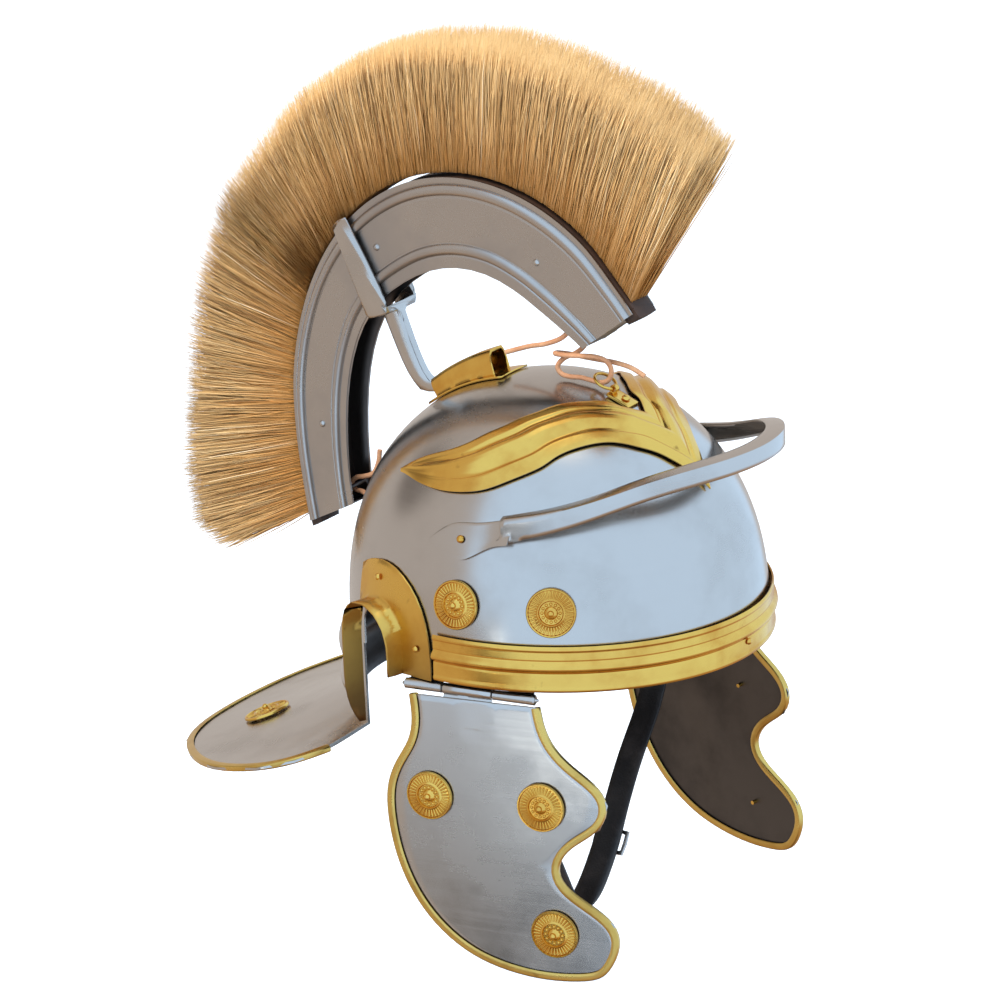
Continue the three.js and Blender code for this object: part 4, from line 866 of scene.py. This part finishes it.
# ---- plume
# the crest box from front to back: y and z of its outer edge, y and z of its inner edge, in mm
crestStations = [
    (-56.9, 171.4, -26.5, 149.5), (-46, 184.6, -18, 155.5), (-27.5, 204, -1, 166.3),
    (-5, 218.2, 14.5, 175.2), (20, 226.8, 31, 181.4), (47, 229.3, 49, 182.6), (75, 224.4, 66.5, 178.8),
    (101, 211.5, 83, 170.3), (123, 191.8, 98, 159.2), (140, 166.5, 110, 144.2), (151, 139, 118, 125),
    (156.8, 110, 122.6, 103.5), (157.2, 80, 124.4, 78), (154.2, 50, 123.8, 57), (151.3, 30, 122.4, 44),
]
crestSkin = {"columns": 150, "rows": 84, "gapSteps": 12, "halfWidth": 9.7, "sheet": 0.4,
             "beads": (0.14, 0.8), "bead": 1.7, "beadHalf": 0.062,
             "groove": 0.25, "grooveAt": 1.12, "grooveHalf": 0.14}


# the pressed side sheets of the crest box, each with two rolled beads
def makeCrestSides():
    outer = smoothLine([Vector((0, a, b)) for a, b, _, _ in crestStations], crestSkin["gapSteps"])
    inner = smoothLine([Vector((0, c, d)) for _, _, c, d in crestStations], crestSkin["gapSteps"])
    last = len(outer) - 1
    for side, name in ((-1, "right"), (1, "left")):
        def place(u, v):
            spot = u * last
            k = min(last - 1, int(spot))
            top = outer[k].lerp(outer[k + 1], spot - k)
            edge = top.lerp(inner[k].lerp(inner[k + 1], spot - k), v)
            lift = 0.0
            for middle in crestSkin["beads"]:
                off = abs(v - middle) / crestSkin["beadHalf"]
                if off < 1:
                    lift += crestSkin["bead"] * math.sqrt(1 - off**2)
                grooveOff = (off - crestSkin["grooveAt"]) / crestSkin["grooveHalf"]
                lift -= crestSkin["groove"] * math.exp(-grooveOff ** 2)
            return Vector((side * (crestSkin["halfWidth"] + crestSkin["sheet"] + lift), edge.y, edge.z))

        piece = layGrid(name + "_crest_side", crestSkin["columns"], crestSkin["rows"], place)
        faceOut(piece, rimPoint(0, 60, 140))
        thicken(piece, crestSkin["sheet"] * mm)
        shadeByAngle(piece, 40)
        dress(piece, boxSteel)
        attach(piece, "helmet")


makeCrestSides()
print("crest sides pressed")

# the hairs' tips: share of the crest from front to back, y and z in mm
plumeTips = [
    (0, -108, 258), (0.045, -92, 269), (0.11, -69, 283), (0.215, -20, 299), (0.3, 20, 306),
    (0.4, 70, 302), (0.46, 98, 293), (0.55, 140, 268), (0.66, 194, 211), (0.72, 213, 166),
    (0.78, 222, 127), (0.83, 227, 90), (0.9, 231, 50), (0.96, 226, 18), (1, 203, 5),
]
plume = {"pieces": 5, "strands": 7600, "rootHalf": 7.4, "tipHalf": 21.5, "thick": 0.34, "seed": 7,
         "rootDepth": 1.045, "first": 0.014, "spread": 0.974}
# shares of a hair's length and of the crest, and mm for bow and sway
strand = {"crowding": 0.75, "uneven": 0.07, "unevenPower": 2.2, "jitter": 0.012, "longest": 1.012,
          "shortCount": 0.16, "shortBy": 0.25, "clumpsAlong": 150, "clumpsAcross": 4, "drift": 0.006,
          "bow": 1.3, "sway": 1.6, "flat": 0.7, "darkCount": 0.06, "darkTone": 0.1}
heart = {"columns": 90, "around": 24, "reach": 0.8, "rootIn": 1.5, "tipIn": 5, "first": 0.034,
         "spread": 0.936}


def rootLine():
    deep = plume["rootDepth"]
    line = smoothLine([Vector((0, blendNumbers(i, o, deep), blendNumbers(j, p, deep)))
                       for o, p, i, j in crestStations], 8)
    ys = np.array([p.y for p in line])
    zs = np.array([p.z for p in line])
    steps = np.concatenate([[0], np.cumsum(np.hypot(np.diff(ys), np.diff(zs)))])
    return steps / steps[-1], ys, zs


rootShare, rootY, rootZ = rootLine()
tipTable = np.array(plumeTips)


def plumeSpot(share, reach):
    share = np.clip(share, 0, 1)
    startY, startZ = np.interp(share, rootShare, rootY), np.interp(share, rootShare, rootZ)
    tipShare, tipY, tipZ = tipTable.T
    endY, endZ = np.interp(share, tipShare, tipY), np.interp(share, tipShare, tipZ)
    return startY + (endY - startY) * reach, startZ + (endZ - startZ) * reach


# a solid heart inside the hairs, short of their tips and ends, so that no light shows through
def makeCore():
    around = heart["around"]

    def place(u, v):
        turn = v * around
        side = min(1, turn / (around / 2)) if turn <= around / 2 else (around - turn) / (around / 2)
        x = -1 if turn <= around / 2 else 1
        reach = heart["reach"] * min(1, side * 1.15)
        half = blendNumbers(plume["rootHalf"] - heart["rootIn"], plume["tipHalf"] - heart["tipIn"], reach)
        lean = min(1, side / 0.08, (1 - side) / 0.13)
        share = heart["first"] + heart["spread"] * u
        y, z = plumeSpot(share, reach)
        return Vector((x * half * lean, float(y), float(z)))

    piece = layGrid("plume_heart", heart["columns"], around, place)
    activate(piece)
    bpy.ops.object.mode_set(mode="EDIT")
    bpy.ops.mesh.select_all(action="SELECT")
    bpy.ops.mesh.remove_doubles(threshold=0.0001)
    bpy.ops.mesh.select_all(action="DESELECT")
    bpy.ops.mesh.select_mode(type="EDGE")
    bpy.ops.mesh.select_non_manifold()
    bpy.ops.mesh.fill_holes(sides=0)
    bpy.ops.mesh.select_all(action="SELECT")
    bpy.ops.mesh.normals_make_consistent(inside=False)
    bpy.ops.object.mode_set(mode="OBJECT")
    shadeByAngle(piece, 60)
    standFor(piece, "plume", hairCore)


# one fifth of the hairs: thin strands from the crest's edge to the tips, leaning together in clumps
def makeBristles(index):
    rng = np.random.default_rng(plume["seed"] + index)
    count = plume["strands"]
    share = plume["first"] + plume["spread"] * (index + rng.random(count)) / plume["pieces"]
    across = rng.uniform(-1, 1, count)
    across = np.sign(across) * np.abs(across) ** strand["crowding"]
    length = 1 - strand["uneven"] * rng.random(count) ** strand["unevenPower"]
    length = length + strand["jitter"] * rng.standard_normal(count)
    isShort = rng.random(count) < strand["shortCount"]
    length = np.where(isShort, length - strand["shortBy"] * rng.random(count), length)
    length = np.minimum(length, strand["longest"])
    alongClumps, acrossClumps = strand["clumpsAlong"], strand["clumpsAcross"]
    clumpS = np.round(share * alongClumps + 0.6 * np.sin(across * 9)) / alongClumps
    clumpX = np.round(across * acrossClumps) / acrossClumps
    pull = rng.uniform(0.1, 0.6, count)
    drift = rng.normal(0, strand["drift"], count)
    bow = rng.normal(0, strand["bow"], count)
    sway = rng.normal(0, strand["sway"], count)
    levels = np.array([0, 0.42, 0.8, 1.0])
    radii = np.array([1.0, 0.92, 0.66, 0.0]) * plume["thick"]
    rings = []
    for t, radius in zip(levels, radii):
        s = share + (clumpS - share) * pull * t**2 + drift * t
        x = across + (clumpX - across) * pull * 0.8 * t**2
        half = plume["rootHalf"] + (plume["tipHalf"] - plume["rootHalf"]) * min(1, t * 1.12)
        y, z = plumeSpot(s, t * length)
        y = y + bow * math.sin(math.pi * t)
        px = x * half + sway * t
        centre = np.stack([px, y, z - rimDrop], axis=1) * mm
        if radius > 0:
            for k in range(3):
                turn = 2 * math.pi * k / 3
                thin = math.sin(turn) * strand["flat"]
                step = np.array([math.cos(turn), thin, thin]) * radius * mm
                rings.append(centre + step)
        else:
            rings.append(centre)
    # a strand is three rings of three points and a tip
    perStrand = 10
    spots = np.stack(rings, axis=1).reshape(-1, 3)
    quads = [(r * 3 + k, r * 3 + (k + 1) % 3, r * 3 + 3 + (k + 1) % 3, r * 3 + 3 + k)
             for r in range(2) for k in range(3)]
    tris = [(6 + k, 6 + (k + 1) % 3, 9) for k in range(3)] + [(2, 1, 0)]
    base = (np.arange(count) * perStrand)[:, None]
    quadCorners = (np.array(quads).reshape(1, -1) + base).reshape(-1)
    triCorners = (np.array(tris).reshape(1, -1) + base).reshape(-1)
    corners = np.concatenate([quadCorners, triCorners]).astype(np.int32)
    starts = np.concatenate([np.arange(len(quadCorners) // 4) * 4,
                             len(quadCorners) + np.arange(len(triCorners) // 3) * 3]).astype(np.int32)
    mesh = bpy.data.meshes.new(f"plume_bristles_{index + 1}")
    mesh.vertices.add(len(spots))
    mesh.vertices.foreach_set("co", spots.astype(np.float32).ravel())
    mesh.loops.add(len(corners))
    mesh.loops.foreach_set("vertex_index", corners)
    mesh.polygons.add(len(starts))
    mesh.polygons.foreach_set("loop_start", starts)
    mesh.update(calc_edges=True)
    streak = 0.5 + 0.22 * np.sin(share * 260 + 3 * np.sin(share * 97)) + 0.12 * np.sin(share * 611)
    tone = np.clip(rng.normal(0.52, 0.2, count) * 0.75 + streak * 0.25, 0, 1)
    tone = np.where(rng.random(count) < strand["darkCount"], strand["darkTone"], tone)
    toneValues = np.repeat(tone, perStrand)
    alongValues = np.tile(np.concatenate([np.repeat(levels[:3], 3), [1.0]]), count)
    for name, values in (("tone", toneValues), ("along", alongValues)):
        layer = mesh.attributes.new(name, "FLOAT", "POINT")
        layer.data.foreach_set("value", values.astype(np.float32))
    mesh.validate()
    piece = bpy.data.objects.new(mesh.name, mesh)
    bpy.context.scene.collection.objects.link(piece)
    activate(piece)
    bpy.ops.object.shade_smooth()
    dress(piece, hair)
    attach(piece, "helmet")


makeCore()
for index in range(plume["pieces"]):
    makeBristles(index)
print("plume set")

# ---- floor, light and surroundings
studio = {"floorZ": -0.44, "floorSize": 24, "floorGlow": 0.42, "aimAt": (0, 0.05, -0.05)}
# name, power in watts, size in m, azimuth and elevation in degrees, distance in m, colour
lamps = [
    ("key", 38, 0.9, -95, 58, 1.8, (1, 0.97, 0.93)),
    ("fill", 10, 1.4, -20, 25, 2.4, (0.94, 0.97, 1)),
]


def makeFloor():
    clearSelection()
    bpy.ops.mesh.primitive_plane_add(size=studio["floorSize"], location=(0, 0, studio["floorZ"]))
    floor = bpy.context.object
    floor.name = "floor"
    material, net = newMaterial("pale_floor")
    net.finish({"Base Color": (0.9, 0.9, 0.9, 1), "Roughness": 0.9, "Emission Color": (1, 1, 1, 1),
                "Emission Strength": studio["floorGlow"]})
    dress(floor, material)
    floor.visible_glossy = False


def addLight(name, power, size, azimuth, elevation, distance, colour):
    data = bpy.data.lights.new(name, "AREA")
    data.energy = power
    data.size = size
    data.color = colour
    back = aim(azimuth, elevation)
    lamp = bpy.data.objects.new(name, data)
    bpy.context.scene.collection.objects.link(lamp)
    lamp.location = back * distance + Vector(studio["aimAt"])
    lamp.rotation_euler = back.to_track_quat("Z", "Y").to_euler()
    lamp.visible_camera = False
    lamp.visible_glossy = False


# what the metal mirrors: a warm wall behind, cool light in front and at both sides
room = {"wall": (0.66, 0.61, 0.57, 1), "light": (0.86, 1.14, 1.48, 1), "lightAt": (-6, 4),
        "lightFrom": -0.33, "lightFull": -0.2}
# a lamp overhead, then a brown table that darkens straight below: the span of the height, which
# runs from -1 to 1, the band's strength at both ends of that span, and its colour
roomBands = [
    (0.97, 0.995, 0, 1, (1.4, 1.5, 1.6, 1)),
    (-0.66, -0.36, 1, 0, (0.56, 0.4, 0.28, 1)),
    (-0.92, -0.74, 1, 0, (0.2, 0.13, 0.09, 1)),
]
# round patches that the bowl's rear and the right cheek guard mirror: azimuth, elevation, the
# angles from the middle where a patch ends and where it is full, all in degrees, and its colour
roomPatches = [
    (-172, 24, 17, 8, (0.26, 0.23, 0.21, 1)),
    (-124, -22, 24, 14, (0.64, 0.56, 0.49, 1)),
    (-100.5, -20.5, 9.5, 5, (0.03, 0.028, 0.026, 1)),
    (-98, -13, 4.5, 2, (2.8, 3.1, 3.3, 1)),
    (-99.5, -7.5, 4, 1.5, (0.3, 0.28, 0.27, 1)),
]


def makeSurroundings():
    world = bpy.data.worlds.new("studio")
    bpy.context.scene.world = world
    world.use_nodes = True
    net = Net(world.node_tree)
    spot = net.node("ShaderNodeTexCoord", output="Generated")
    height = net.node("ShaderNodeSeparateXYZ", None, {"Vector": spot}, 2)

    def toward(azimuth, elevation):
        inputs = {0: spot, 1: aim(azimuth, elevation)}
        return net.node("ShaderNodeVectorMath", {"operation": "DOT_PRODUCT"}, inputs, "Value")

    lit = net.span(toward(*room["lightAt"]), room["lightFrom"], room["lightFull"])
    around = net.mix(lit, room["wall"], room["light"])
    for low, high, first, last, colour in roomBands:
        around = net.mix(net.span(height, low, high, first, last), around, colour)
    for azimuth, elevation, outer, inner, colour in roomPatches:
        edge, full = math.cos(math.radians(outer)), math.cos(math.radians(inner))
        around = net.mix(net.span(toward(azimuth, elevation), edge, full), around, colour)
    seen = net.node("ShaderNodeLightPath", output="Is Camera Ray")
    backdrop = net.mix(seen, around, (1, 1, 1, 1))
    shader = net.node("ShaderNodeBackground", None, {"Color": backdrop, "Strength": 1.0})
    net.node("ShaderNodeOutputWorld", None, {"Surface": shader})


makeFloor()
for lamp in lamps:
    addLight(*lamp)
makeSurroundings()
bpy.context.scene.view_settings.view_transform = "Standard"
print("studio lit")
